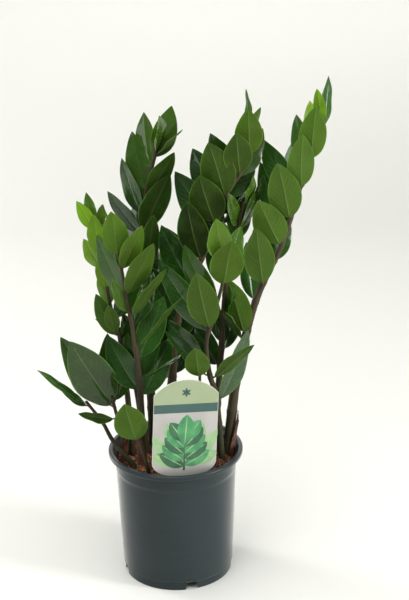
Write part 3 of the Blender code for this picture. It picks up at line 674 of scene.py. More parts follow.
def settle(rachis, leaflet, joined, own_stem, obstacles):
    """Turns a leaflet by the least that keeps it clear of every piece in its way."""
    for tilt, lean, turn in settling_turns():
        moved = leaflet._replace(tilt=leaflet.tilt + tilt, lean=leaflet.lean + lean, turn=leaflet.turn + turn)
        tried = tree_of(frame_blade(rachis, moved, joined, GAP))
        clear = joined or not touches(tried, own_stem)
        if clear and not any(touches(tried, obstacle) for obstacle in obstacles):
            return moved, tried
    raise RuntimeError(f"a leaflet of {rachis.stem.name} finds no room")


def frame_pot_profile():
    """The pot's outline as the frame has it."""
    rim_foot = POT_HEIGHT - RIM_HEIGHT
    line = rim_foot - MOULD_LINE_DROP
    bead = 0.3 * RIM_HEIGHT
    line_radius = wall_inner_radius(line) + WALL
    return (
        (0, FOOT_HEIGHT - FLOOR_THICKNESS), (FOOT_RADIUS - WALL, FOOT_HEIGHT - FLOOR_THICKNESS),
        (FOOT_RADIUS - WALL, 0), (FOOT_RADIUS, 0), (FOOT_RADIUS, FOOT_HEIGHT - FLOOR_THICKNESS),
        (WALL_FOOT_RADIUS, FOOT_HEIGHT), (line_radius, line),
        (line_radius + MOULD_LINE_STEP, line + MOULD_LINE_RISE),
        (WALL_TOP_RADIUS + MOULD_LINE_STEP, rim_foot),
        (RIM_RADIUS - bead, rim_foot), (RIM_RADIUS, rim_foot + bead), (RIM_RADIUS, POT_HEIGHT - bead),
        (RIM_RADIUS - bead, POT_HEIGHT), (RIM_INNER_RADIUS + bead / 2, POT_HEIGHT),
        (RIM_INNER_RADIUS, POT_HEIGHT - bead / 2), (WALL_TOP_RADIUS - WALL, rim_foot - WALL),
        (wall_inner_radius(FOOT_HEIGHT), FOOT_HEIGHT), (0, FOOT_HEIGHT),
    )


def settled_leaflets(courses):
    """Every stem's leaflets at the angles the frame has them, each with whether it is joined."""
    by_name = {rachis.stem.name: rachis for rachis in courses}
    obstacles = [tree_of(frame_label(GAP)), tree_of(turned(frame_pot_profile(), FRAME_POT_SEGMENTS))]
    obstacles += [tree_of(frame_sheath(by_name[sheath.stem], sheath)) for sheath in SHEATHS]
    stem_trees = {rachis.stem.name: tree_of(rachis.tube()) for rachis in courses}
    grown_trees = {rachis.stem.name: tree_of(rachis.tube(GAP)) for rachis in courses}
    placed = {}
    for rachis in courses:
        name = rachis.stem.name
        others = [tree for stem, tree in grown_trees.items() if stem != name]
        placed[name] = []
        for number, leaflet in enumerate(rachis.stem.leaflets):
            joined = number >= rachis.stem.loose
            moved, tree = settle(rachis, leaflet, joined, stem_trees[name], others + obstacles)
            obstacles.append(tree)
            placed[name].append((moved, joined))
    return placed


# ---------------------------------------------------------------- shader expressions

class Value:
    """A socket that can be used in Python arithmetic, which adds Math nodes."""

    def __init__(self, finish, socket):
        self.finish = finish
        self.socket = socket

    def math(self, operation, *others):
        node = self.finish.node("ShaderNodeMath", {"operation": operation},
                                dict(enumerate((self, *others))))
        return self.finish.out(node)

    def __add__(self, other):
        return self.math("ADD", other)

    __radd__ = __add__

    def __mul__(self, other):
        return self.math("MULTIPLY", other)

    __rmul__ = __mul__

    def __sub__(self, other):
        return self.math("SUBTRACT", other)

    def __rsub__(self, other):
        return (self * -1) + other

    def __pow__(self, other):
        return self.math("POWER", other)

    def size(self):
        return self.math("ABSOLUTE")

    def sine(self):
        return self.math("SINE")

    def step(self, low, high):
        """0 below low and 1 above high, smooth between. Low may be the larger one."""
        node = self.finish.node("ShaderNodeMapRange", {"interpolation_type": "SMOOTHSTEP"},
                                {"Value": self, "From Min": low, "From Max": high})
        return self.finish.out(node)


class Finish:
    """A material with one Principled shader, built by expressions."""

    def __init__(self, name, **constants):
        self.material = bpy.data.materials.new(name)
        self.material.use_nodes = True
        self.tree = self.material.node_tree
        self.shader = self.tree.nodes["Principled BSDF"]
        for socket, value in constants.items():
            self.shader.inputs[socket.replace("_", " ")].default_value = value

    def node(self, kind, settings=None, sockets=None):
        """Adds a node: its settings first, then the values or links of its sockets."""
        made = self.tree.nodes.new(kind)
        for name, value in (settings or {}).items():
            setattr(made, name, value)
        for name, value in (sockets or {}).items():
            target = made.inputs[name]
            if isinstance(value, Value):
                self.tree.links.new(value.socket, target)
            else:
                target.default_value = value
        return made

    def out(self, node, name=0):
        return Value(self, node.outputs[name])

    def axes(self, vector):
        node = self.node("ShaderNodeSeparateXYZ", None, {0: vector})
        return [self.out(node, name) for name in ("X", "Y", "Z")]

    def position(self):
        return self.out(self.node("ShaderNodeTexCoord"), "Object")

    def stretched(self, vector, scale):
        node = self.node("ShaderNodeVectorMath", {"operation": "MULTIPLY"}, {0: vector, 1: scale})
        return self.out(node)

    def attribute(self, name):
        return self.out(self.node("ShaderNodeAttribute", {"attribute_name": name}), "Fac")

    def noise(self, vector, scale, detail=3.0, roughness=0.55):
        node = self.node("ShaderNodeTexNoise", None,
                         {"Vector": vector, "Scale": scale, "Detail": detail, "Roughness": roughness})
        return self.out(node, "Fac")

    def cells(self, vector, scale):
        node = self.node("ShaderNodeTexVoronoi", {"feature": "F1"}, {"Vector": vector, "Scale": scale})
        return self.out(node, "Distance")

    def grazing(self):
        """0 where the surface faces the eye, 1 at its outline."""
        return self.out(self.node("ShaderNodeLayerWeight", None, {"Blend": 0.5}), "Facing")

    def blend(self, amount, first, second):
        """A colour from first to second."""
        node = self.node("ShaderNodeMix", {"data_type": "RGBA"}, {0: amount})
        for socket, value in ((node.inputs[6], first), (node.inputs[7], second)):
            if isinstance(value, Value):
                self.tree.links.new(value.socket, socket)
            else:
                socket.default_value = (*value, 1.0)
        return self.out(node, 2)

    def relief(self, height, distance, strength=1.0):
        node = self.node("ShaderNodeBump", None,
                         {"Strength": strength, "Distance": distance, "Height": height})
        return self.out(node)

    def feed(self, **inputs):
        for name, value in inputs.items():
            self.tree.links.new(value.socket, self.shader.inputs[name.replace("_", " ")])
        return self.material


# ---------------------------------------------------------------- finishes

def pot_finish(settings):
    """Moulded plastic: fine flow marks round the wall, soft scuffs and a little dried dust low down."""
    finish = Finish("moulded_plastic", IOR=1.46, Specular_IOR_Level=0.25, Coat_Roughness=0.14)
    place = finish.position()
    height = finish.axes(place)[2]
    flow = finish.noise(finish.stretched(place, (1.0, 1.0, 14.0)), 60.0, 2.0)
    cloud = finish.noise(place, 22.0, 4.0)
    grain = finish.noise(place, 900.0, 2.0)
    scuffs = finish.noise(finish.stretched(place, (1.0, 1.0, 0.25)), 160.0, 5.0, 0.7).step(0.63, 0.78)
    edge_wear = height.step(POT_HEIGHT - 0.0022, POT_HEIGHT)
    low_dust = height.step(0.03, 0.0) * cloud.step(0.45, 0.75)
    body = finish.blend(cloud.step(0.3, 0.75), scaled(settings.pot_colour, 0.86), settings.pot_colour)
    body = finish.blend(flow.step(0.35, 0.8) * 0.25, body, scaled(settings.pot_colour, 1.35))
    body = finish.blend(scuffs * 0.12 + edge_wear * 0.07, body, (0.10, 0.12, 0.125))
    body = finish.blend(low_dust * 0.2, body, (0.07, 0.065, 0.052))
    rough = 0.25 + 0.10 * cloud + 0.16 * scuffs + 0.2 * low_dust
    relief = finish.relief(grain * 0.35 + flow * 0.5 + scuffs * 0.3, 0.00012, 0.6)
    gloss = finish.grazing().step(0.35, 0.95)
    return finish.feed(Base_Color=body, Roughness=rough, Coat_Weight=gloss, Normal=relief)


def soil_finish():
    """Moist coir mix: reddish-brown crumbs, with painted near-black shade in the gaps between them."""
    finish = Finish("potting_mix")
    place = finish.position()
    crumbs = finish.cells(place, 420.0)
    clods = finish.noise(place, 130.0, 6.0, 0.65)
    threads = finish.noise(finish.stretched(place, (1.0, 4.0, 1.0)), 420.0, 3.0)
    gap_shade = (crumbs * 1.3 + clods * 0.8).step(0.55, 1.0)
    colour = finish.blend(clods.step(0.3, 0.7), (0.055, 0.019, 0.009), (0.26, 0.095, 0.038))
    colour = finish.blend(threads.step(0.55, 0.75) * 0.6, colour, (0.34, 0.16, 0.075))
    # Painted shade: the gaps between crumbs are darkened to near black.
    colour = finish.blend(gap_shade * 0.7, colour, (0.016, 0.008, 0.005))
    relief = finish.relief(clods + threads * 0.5 - crumbs * 0.6, 0.0012, 0.9)
    return finish.feed(Base_Color=colour, Roughness=0.82 + 0.15 * threads, Normal=relief)


def fibre_finish():
    """Coir threads and crumbs, each with its own shade; on the crumbs the shade also carries a painted
    highlight on their tops.
    """
    finish = Finish("coir_threads")
    place = finish.position()
    shade = finish.attribute("shade")
    streaks = finish.noise(place, 800.0, 3.0)
    colour = finish.blend(shade, (0.11, 0.036, 0.016), (0.46, 0.20, 0.085))
    colour = finish.blend(streaks.step(0.5, 0.8) * 0.5, colour, (0.50, 0.27, 0.14))
    return finish.feed(Base_Color=colour, Roughness=0.75 + 0.2 * streaks,
                       Normal=finish.relief(streaks, 0.0002, 0.5))


def stem_finish(settings):
    """Fleshy stalk: olive to brown, streaked along its length, with pale flecks and dark rings."""
    finish = Finish("streaked_stem", IOR=1.42, Specular_IOR_Level=0.2)
    place = finish.position()
    brown = finish.attribute("brown")
    ring = finish.attribute("ring")
    streaks = finish.noise(finish.stretched(place, (1.0, 1.0, 0.08)), 900.0, 4.0, 0.65)
    patches = finish.noise(finish.stretched(place, (1.0, 1.0, 0.4)), 110.0, 4.0)
    flecks = finish.cells(finish.stretched(place, (1.0, 1.0, 0.45)), 520.0).step(0.24, 0.10)
    colour = finish.blend(brown, settings.stem_green, settings.stem_brown)
    colour = finish.blend(patches.step(0.35, 0.75) * 0.65, colour, scaled(settings.stem_brown, 0.45))
    colour = finish.blend(streaks.step(0.5, 0.8) * 0.45, colour, (0.075, 0.072, 0.038))
    colour = finish.blend(flecks * 0.25, colour, (0.14, 0.12, 0.08))
    colour = finish.blend(ring * 0.75, colour, (0.045, 0.028, 0.016))
    relief = finish.relief(streaks * 0.5 + flecks * 0.35 + patches * 0.4, 0.0004, 0.6)
    return finish.feed(Base_Color=colour, Roughness=0.40 + 0.22 * streaks + 0.12 * patches, Normal=relief)


def sheath_finish():
    """Dry papery scale: maroon brown, ribbed along its length, bleached in places."""
    finish = Finish("dry_sheath")
    place = finish.position()
    ribs = finish.noise(finish.stretched(place, (1.0, 1.0, 0.05)), 1300.0, 3.0, 0.6)
    stains = finish.noise(place, 150.0, 5.0, 0.6)
    colour = finish.blend(ribs.step(0.35, 0.7), (0.045, 0.014, 0.010), (0.17, 0.055, 0.030))
    colour = finish.blend(stains.step(0.52, 0.72) * 0.6, colour, (0.30, 0.13, 0.065))
    colour = finish.blend(stains.step(0.42, 0.28) * 0.5, colour, (0.022, 0.009, 0.007))
    return finish.feed(Base_Color=colour, Roughness=0.62 + 0.3 * stains,
                       Normal=finish.relief(ribs + stains * 0.5, 0.0004, 0.8))


def blade_places(finish):
    """On a blade: the share across from the midrib, the share along, and the side veins between."""
    across, along, _ = finish.axes(finish.out(finish.node("ShaderNodeUVMap", {"uv_map": "blade"})))
    across = (across * 2 - 1)
    from_rib = across.size()
    wander = finish.noise(finish.position(), 90.0, 2.0)
    wave = ((along * 9.5 - from_rib ** 1.25 * 3.1 + wander * 0.5) * (2 * math.pi)).sine()
    veins = wave.step(0.72, 1.0) * from_rib.step(0.02, 0.12) * from_rib.step(0.96, 0.7)
    return from_rib, along, veins


def upper_leaf_finish(settings):
    """Waxy upper face: deep green, a pale groove along the midrib, faint side veins and a lighter margin,
    painted light shining through the thin edge.
    """
    finish = Finish("leaf_upper", IOR=1.45, Specular_IOR_Level=0.22, Coat_Weight=0.60, Coat_Roughness=0.04)
    place = finish.position()
    from_rib, along, veins = blade_places(finish)
    tone = finish.attribute("tone")
    youth = finish.attribute("youth")
    cloud = finish.noise(place, 70.0, 4.0)
    mottle = finish.noise(place, 420.0, 3.0)
    blisters = finish.cells(place, 300.0)
    green = Vector(settings.leaf_upper)
    deep = finish.blend(tone, green * 0.5, green * 2.0)
    colour = finish.blend(cloud.step(0.35, 0.75) * 0.4, deep, green * 1.8)
    colour = finish.blend(mottle.step(0.5, 0.8) * 0.22, colour, green * 0.5)
    colour = finish.blend(youth, colour, settings.leaf_young)
    colour = finish.blend(veins * 0.14, colour, (0.07, 0.18, 0.03))
    rib = from_rib.step(0.045, 0.010) * along.step(1.0, 0.75)
    colour = finish.blend(rib * 0.5, colour, (0.10, 0.22, 0.04))
    margin_glow = from_rib.step(0.92, 0.99)
    # Painted light: the margin is lightened to yellow-green as if light shone through the thin edge.
    colour = finish.blend(margin_glow * 0.6, colour, (0.13, 0.30, 0.03))
    rough = 0.17 + 0.14 * cloud + 0.05 * mottle + 0.14 * margin_glow
    swell = mottle * 0.1 + blisters * 0.25 - veins * 0.3 - rib * 0.4 + cloud * 1.2
    relief = finish.relief(swell, 0.0012, 0.5)
    return finish.feed(Base_Color=colour, Roughness=rough, Normal=relief)


def under_leaf_finish(settings):
    """Matte under face: paler green, a raised light midrib, soft side veins, painted soft shading blotches
    and a margin painted lighter as if lit through its thin edge.
    """
    finish = Finish("leaf_under", IOR=1.42, Specular_IOR_Level=0.15, Subsurface_Weight=0.12)
    finish.shader.inputs["Subsurface Radius"].default_value = (0.4, 1.0, 0.15)
    finish.shader.inputs["Subsurface Scale"].default_value = 0.002
    place = finish.position()
    from_rib, along, veins = blade_places(finish)
    tone = finish.attribute("tone")
    youth = finish.attribute("youth")
    cloud = finish.noise(place, 60.0, 4.0)
    mottle = finish.noise(place, 600.0, 3.0)
    green = Vector(settings.leaf_under)
    soft = finish.blend(tone, green * 0.38, green * 2.1)
    # Painted shade: soft lighter blotches stand in for the shading of a gently undulating blade.
    colour = finish.blend(cloud.step(0.4, 0.75) * 0.4, soft, green * 1.6)
    colour = finish.blend(mottle.step(0.45, 0.8) * 0.2, colour, green * 0.6)
    colour = finish.blend(youth, colour, settings.leaf_young)
    colour = finish.blend(veins * 0.22, colour, green * 0.55)
    rib = from_rib.step(0.060, 0.012) * along.step(1.02, 0.8)
    colour = finish.blend(rib * 0.5, colour, (0.12, 0.20, 0.05))
    margin_glow = from_rib.step(0.925, 0.99)
    # Painted light: the margin is lightened to yellow-green as if light shone through the thin edge.
    colour = finish.blend(margin_glow * 0.7, colour, (0.13, 0.25, 0.03))
    relief = finish.relief(mottle * 0.12 + veins * 0.3 + rib * 0.4 + cloud * 1.6, 0.0012, 0.45)
    return finish.feed(Base_Color=colour, Roughness=0.36 + 0.16 * cloud + 0.08 * mottle, Normal=relief)


def leaf_stalk_finish(settings):
    """The short stalk of a leaflet: dark olive green streaked with a lighter green."""
    finish = Finish("leaf_stalk", IOR=1.42)
    place = finish.position()
    streaks = finish.noise(place, 700.0, 3.0)
    colour = finish.blend(streaks.step(0.4, 0.75), settings.stem_green, (0.09, 0.13, 0.035))
    return finish.feed(Base_Color=colour, Roughness=0.4 + 0.2 * streaks,
                       Normal=finish.relief(streaks, 0.0002, 0.4))


def ink_finish(name, colour, second, drift=30.0):
    """Printed ink on coated plastic: a fine screen, a slow drift of tone and small rubbed spots."""
    finish = Finish(name, IOR=1.5, Coat_Weight=0.25, Coat_Roughness=0.15)
    place = finish.position()
    tone = finish.noise(place, drift, 2.0)
    screen = finish.cells(place, 2600.0)
    rubbed = finish.noise(place, 500.0, 4.0, 0.7).step(0.68, 0.8)
    body = finish.blend(tone.step(0.3, 0.7), colour, second)
    body = finish.blend(screen.step(0.5, 0.2) * 0.10, body, scaled(colour, 1.4))
    body = finish.blend(rubbed * 0.12, body, (0.75, 0.77, 0.72))
    return finish.feed(Base_Color=body, Roughness=0.26 + 0.12 * tone + 0.15 * rubbed,
                       Normal=finish.relief(screen * 0.3 + tone, 0.00004, 0.4))


# ---------------------------------------------------------------- pot

def arc(centre, radius, start, stop, steps):
    """Points of radius and height round part of a circle, with angles in degrees."""
    found = []
    for step in range(steps + 1):
        angle = math.radians(start + (stop - start) * step / steps)
        found.append((centre[0] + radius * math.cos(angle), centre[1] + radius * math.sin(angle)))
    return found


def pot_outline(bead):
    """The pot's section: foot ring, ledge, leaning wall with its mould line, and a rolled rim."""
    rim_foot = POT_HEIGHT - RIM_HEIGHT
    line = rim_foot - MOULD_LINE_DROP
    under = FOOT_HEIGHT - FLOOR_THICKNESS
    soft = SOFT_EDGE
    line_radius = wall_inner_radius(line) + WALL
    outline = [(0, under), (GATE_INNER_RADIUS, under), (GATE_INNER_RADIUS + GATE_SLOPE, under - soft),
               (GATE_OUTER_RADIUS - GATE_SLOPE, under - soft), (GATE_OUTER_RADIUS, under),
               (FOOT_RADIUS - WALL - soft, under), (FOOT_RADIUS - WALL, under - soft)]
    outline += arc((FOOT_RADIUS - WALL + soft, soft), soft, 180, 270, 4)
    outline += arc((FOOT_RADIUS - soft, soft), soft, 270, 360, 4)
    outline += [(FOOT_RADIUS + 0.0001, under * 0.5), (FOOT_RADIUS, under - soft), (FOOT_RADIUS + soft, under)]
    outline += arc((WALL_FOOT_RADIUS - soft, FOOT_HEIGHT + 0.0003), soft, 300, 370, 4)
    for step in range(1, WALL_STEPS):
        height = FOOT_HEIGHT + (line - FOOT_HEIGHT) * step / WALL_STEPS
        outline.append((wall_inner_radius(height) + WALL, height))
    outline += [(line_radius, line), (line_radius + MOULD_LINE_STEP, line + MOULD_LINE_RISE),
                (line_radius + MOULD_LINE_STEP, line + MOULD_LINE_HEIGHT)]
    for step in range(1, 6):
        height = line + MOULD_LINE_HEIGHT + (rim_foot - line - 0.002) * step / 6
        outline.append((wall_inner_radius(height) + WALL + MOULD_LINE_STEP, height))
    outline += arc((WALL_TOP_RADIUS + MOULD_LINE_STEP + 0.0007, rim_foot - 0.0007), 0.0007, 180, 90, 4)
    outline += arc((RIM_RADIUS - bead, rim_foot + bead), bead, 270, 360, 6)
    outline += arc((RIM_RADIUS - bead * 1.25, POT_HEIGHT - bead * 1.25), bead * 1.25, 0, 90, 8)
    outline += arc((RIM_INNER_RADIUS + bead * 0.7, POT_HEIGHT - bead * 0.7), bead * 0.7, 90, 180, 6)
    outline += arc((WALL_TOP_RADIUS - WALL + 0.0012, rim_foot - 0.0006), 0.0012, 120, 180, 3)
    for step in range(13):
        height = rim_foot - 0.0015 - (rim_foot - 0.0015 - FOOT_HEIGHT - 0.001) * step / 12
        outline.append((wall_inner_radius(height), height))
    return outline + [(wall_inner_radius(FOOT_HEIGHT) - 0.001, FOOT_HEIGHT), (0, FOOT_HEIGHT)]


def notch_shape(index):
    """Air through the foot ring, wider at the foot, with rounded upper corners."""
    soft = 0.0011
    half_top = NOTCH_WIDTH_TOP / 2
    half_foot = NOTCH_WIDTH_FOOT / 2
    right = arc((half_top - soft, NOTCH_HEIGHT - soft), soft, 15, 90, 5)
    outline = [(half_foot, -0.004), (half_foot, 0.0), *right]
    outline += [(-x, z) for x, z in reversed(outline)]
    sections = [[(x, -radius, z) for x, z in outline] for radius in (FOOT_RADIUS - 4 * WALL, RIM_RADIUS)]
    made = skin(sections)
    turn = NOTCH_TURN + 2 * math.pi * index / NOTCH_COUNT
    bmesh.ops.rotate(made, verts=made.verts, matrix=Matrix.Rotation(turn, 3, "Z"))
    return made


def drain_shape(index):
    """Air through the pot's floor, one of a ring of round holes."""
    made = bmesh.new()
    turn = NOTCH_TURN + 2 * math.pi * (index + 0.5) / DRAIN_COUNT
    place = Matrix.Translation((DRAIN_CIRCLE * math.cos(turn), DRAIN_CIRCLE * math.sin(turn), FOOT_HEIGHT))
    bmesh.ops.create_cone(made, cap_ends=True, segments=36, radius1=DRAIN_RADIUS, radius2=DRAIN_RADIUS,
                          depth=4 * FLOOR_THICKNESS, matrix=place)
    return made


def cut(target, shapes):
    """Takes every shape out of the target's mesh."""
    for number, shape in enumerate(shapes):
        bmesh.ops.recalc_face_normals(shape, faces=shape.faces)
        tool = object_of(f"tool_{number}", shape)
        change = target.modifiers.new(tool.name, "BOOLEAN")
        change.operation = "DIFFERENCE"
        change.solver = "EXACT"
        change.object = tool
    graph = bpy.context.evaluated_depsgraph_get()
    finished = bpy.data.meshes.new_from_object(target.evaluated_get(graph))
    tools = [change.object for change in target.modifiers]
    target.modifiers.clear()
    target.data = finished
    for tool in tools:
        bpy.data.objects.remove(tool)


def pot_shape(bead):
    """The turned pot with its notches and drain holes cut."""
    made = turned(pot_outline(bead), POT_SEGMENTS)
    bmesh.ops.recalc_face_normals(made, faces=made.faces)
    blank = object_of("pot_blank", made)
    cut(blank, [notch_shape(index) for index in range(NOTCH_COUNT)]
        + [drain_shape(index) for index in range(DRAIN_COUNT)])
    found = bmesh.new()
    found.from_mesh(blank.data)
    bpy.data.objects.remove(blank)
    return found


# ---------------------------------------------------------------- soil

def surface_height(x, y, roughness):
    """The soil's surface: a low mound, clods and crumbs, and a heap at each side of the label."""
    reach = math.hypot(x, y) / SOIL_RADIUS
    mound = SOIL_MOUND * (1 - max(reach - 0.6, 0) / 0.4)
    place = Vector((x, y, 0.0))
    clods = sum(wobble(place, scale, seed) * weight for seed, (scale, weight) in enumerate(CLODS, start=1))
    heap = sum(height * math.exp(-((x - heap_x) ** 2 + (y - heap_y) ** 2) / spread ** 2)
               for heap_x, heap_y, spread, height in HEAPS)
    return SOIL_TOP + mound * 0.6 + heap + roughness * clods


def soil_shape(roughness):
    """The potting mix: a rough top, and a body that fills the pot to its floor."""
    made = bmesh.new()
    rings = []
    for ring in range(1, SOIL_RINGS + 1):
        radius = SOIL_RADIUS * math.sqrt(ring / SOIL_RINGS)
        row = []
        for spoke in range(SOIL_SPOKES):
            angle = 2 * math.pi * (spoke + 0.5 * (ring % 2)) / SOIL_SPOKES
            x, y = radius * math.cos(angle), radius * math.sin(angle)
            row.append(made.verts.new((x, y, surface_height(x, y, roughness))))
        rings.append(row)
    for drop in (*SOIL_LAYERS, SOIL_TOP - FOOT_HEIGHT - GAP):
        height = SOIL_TOP - drop
        radius = wall_inner_radius(height) - GAP
        row = []
        for spoke in range(SOIL_SPOKES):
            angle = 2 * math.pi * spoke / SOIL_SPOKES
            row.append(made.verts.new((radius * math.cos(angle), radius * math.sin(angle), height)))
        rings.append(row)
    fan(made, rings[0], made.verts.new((0, 0, surface_height(0, 0, roughness))))
    for inner, outer in zip(rings, rings[1:]):
        bridge(made, inner, outer)
    made.faces.new(rings[-1])
    return made


def shade_layer(made):
    return made.verts.layers.float.get("shade") or made.verts.layers.float.new("shade")


def thread(made, start, heading, length, radius, curl, rise, shade):
    """A coir thread: a thin bent strand with pointed ends."""
    layer = shade_layer(made)
    rings = []
    place = Vector(start)
    for step in range(THREAD_STEPS + 1):
        share = step / THREAD_STEPS
        turn = heading + curl * share
        if step:
            place = place + Vector((math.cos(turn), math.sin(turn), 0)) * length / THREAD_STEPS
        height = surface_height(place.x, place.y, 0.0) + rise * math.sin(math.pi * share)
        centre = Vector((place.x, place.y, height))
        side = Vector((-math.sin(turn), math.cos(turn), 0))
        slim = radius * (0.25 + 0.75 * math.sin(math.pi * (0.12 + 0.76 * share)))
        ring = [made.verts.new(centre + side * slim * math.cos(a) + Vector((0, 0, slim * math.sin(a))))
                for a in (0.0, math.pi / 2, math.pi, 3 * math.pi / 2)]
        for corner in ring:
            corner[layer] = clamp(shade + 0.25 * (share - 0.5))
        rings.append(ring)
    for lower, upper in zip(rings, rings[1:]):
        bridge(made, lower, upper)
    made.faces.new(rings[0][::-1])
    made.faces.new(rings[-1])


def free_spot(chance, roots):
    """A place on the soil, inside the pot's wall and not in a stem."""
    while True:
        radius = (SOIL_RADIUS - 0.0012) * math.sqrt(chance.random())
        angle = chance.uniform(0, 2 * math.pi)
        spot = Vector((radius * math.cos(angle), radius * math.sin(angle), 0))
        if all((spot - root).length > reach for root, reach in roots):
            return spot


def threads_shape(settings, roots):
    """The coir threads, strewn over the soil between the stems."""
    chance = random.Random(41)
    made = bmesh.new()
    for _ in range(settings.threads):
        spot = free_spot(chance, roots)
        length = chance.uniform(0.003, 0.0125)
        heading = chance.uniform(0, 2 * math.pi)
        end = spot + Vector((math.cos(heading), math.sin(heading), 0)) * length
        if end.length > SOIL_RADIUS - 0.0015:
            heading += math.pi
        thread(made, spot, heading, length, chance.uniform(0.00012, 0.00038), chance.uniform(-1.2, 1.2),
               chance.uniform(0.0004, 0.0034), chance.random())
    return made


def crumbs_shape(settings, roots):
    """The loose crumbs, strewn over the soil between the stems."""
    chance = random.Random(17)
    made = bmesh.new()
    layer = shade_layer(made)
    for _ in range(settings.crumbs):
        spot = free_spot(chance, roots)
        size = chance.uniform(0.0005, 0.0021) * chance.uniform(0.6, 1.0)
        spot.z = surface_height(spot.x, spot.y, settings.roughness * 0.6) + size * 0.25
        found = bmesh.ops.create_icosphere(made, subdivisions=2, radius=size)["verts"]
        seed = chance.uniform(0, 50)
        squeeze = Vector((chance.uniform(0.6, 1.3), chance.uniform(0.6, 1.3), chance.uniform(0.5, 1.0)))
        shade = chance.random() ** 1.4
        for corner in found:
            out = corner.co.normalized()
            corner.co = corner.co * squeeze * (1 + 0.38 * wobble(out, 2.1, seed)) + spot
            # Painted light: the upward-facing side of each crumb is made lighter, on top of its own random
            # shade.
            corner[layer] = clamp(shade + 0.2 * out.z)
    return made


# ---------------------------------------------------------------- label

def crown_points(half, drop, steps):
    """The label's arched top from right to left, lowered by drop."""
    radius = (half ** 2 + LABEL_CROWN ** 2) / (2 * LABEL_CROWN)
    centre = LABEL_SHOULDER + LABEL_CROWN - radius - drop
    sweep = math.asin(half / radius)
    angles = [sweep - 2 * sweep * step / steps for step in range(steps + 1)]
    return [(radius * math.sin(angle), centre + radius * math.cos(angle)) for angle in angles]


def label_outline(inset=0.0):
    """The label's outline from the front: an arched top, rounded lower corners and a pointed stake."""
    half = LABEL_WIDTH / 2 - inset
    stake = STAKE_WIDTH / 2 - inset
    foot = -STAKE_DEPTH
    right = [(stake * 0.35, foot + 0.0065), (stake * 0.8, foot + 0.0125), (stake, foot + STAKE_WIDTH),
             (stake, LABEL_LIFT - LABEL_TAPER - 0.002), (stake + 0.0012, LABEL_LIFT - LABEL_TAPER)]
    corner = (half - stake - 0.0012, LABEL_TAPER + 0.002)
    for step in range(1, 9):
        angle = math.pi / 2 * step / 8
        right.append((stake + 0.0012 + corner[0] * math.sin(angle), LABEL_LIFT - LABEL_TAPER
                      + corner[1] * (1 - math.cos(angle))))
    left = [(-x, z) for x, z in reversed(right)]
    return [(0, foot), *right, *crown_points(half, inset, CROWN_STEPS), *left]


def cut_below(outline, level):
    """What is left of a closed outline when all below a level is cut off."""
    found = []
    for (x, z), (next_x, next_z) in zip(outline, outline[1:] + outline[:1]):
        if z >= level:
            found.append((x, z))
        if (z - level) * (next_z - level) < 0:
            share = (level - z) / (next_z - z)
            found.append((x + share * (next_x - x), level))
    return found


def cut_above(outline, level):
    """What is left of a closed outline when all above a level is cut off."""
    turned_over = [(x, -z) for x, z in outline]
    return [(x, -z) for x, z in cut_below(turned_over, -level)]


def leaf_outline(base, angle, length, width, steps=9):
    """A printed leaf: a pointed oval from its base, in the label's plane."""
    along = Vector((math.sin(angle), math.cos(angle)))
    across = Vector((along.y, -along.x))
    base = Vector(base)
    right = []
    left = []
    for step in range(1, steps):
        share = step / steps
        reach = width / 2 * blade_half_width(share)
        right.append(base + along * length * share + across * reach)
        left.append(base + along * length * share - across * reach)
    tip = base + along * length
    return [tuple(point) for point in [base, *right, tip, *reversed(left)]]


def print_layer(made, outline, level, slot):
    """A thin layer of ink in front of the card: closed, with its own finish."""
    front = -LABEL_THICKNESS / 2 - INK_LAYER * level
    back = -LABEL_THICKNESS / 2 + INK_LAYER
    rings = [[made.verts.new((x, y, z)) for x, z in outline] for y in (front, back)]
    faces = [made.faces.new(rings[0]), made.faces.new(rings[1][::-1])]
    for here in range(len(outline)):
        after = (here + 1) % len(outline)
        faces.append(made.faces.new((rings[0][here], rings[1][here], rings[1][after], rings[0][after])))
    for face in faces:
        face.material_index = slot


def stand_label(made):
    """Stands the label in the soil: rolled, turned and set back from the soil's edge."""
    bmesh.ops.rotate(made, verts=made.verts, matrix=Matrix.Rotation(LABEL_ROLL, 3, "Y"))
    bmesh.ops.rotate(made, verts=made.verts, matrix=Matrix.Rotation(LABEL_TURN, 3, "Z"))
    bmesh.ops.translate(made, verts=made.verts, vec=Vector((LABEL_X, LABEL_SET_BACK - SOIL_RADIUS, SOIL_TOP)))
    return made


def frame_label(grow):
    """The label as the frame has it."""
    half = LABEL_WIDTH / 2 + grow
    stake = STAKE_WIDTH / 2 + grow
    right = [(stake, STAKE_WIDTH - STAKE_DEPTH), (stake, LABEL_LIFT - LABEL_TAPER), (half, LABEL_LIFT)]
    left = [(-x, z) for x, z in reversed(right)]
    outline = [(0, -STAKE_DEPTH - grow), *right, *crown_points(half, 0.0, FRAME_CROWN_STEPS), *left]
    thick = FRAME_LABEL_THICKNESS / 2 + grow
    return stand_label(skin([[(x, y, z) for x, z in outline] for y in (-thick, thick)]))


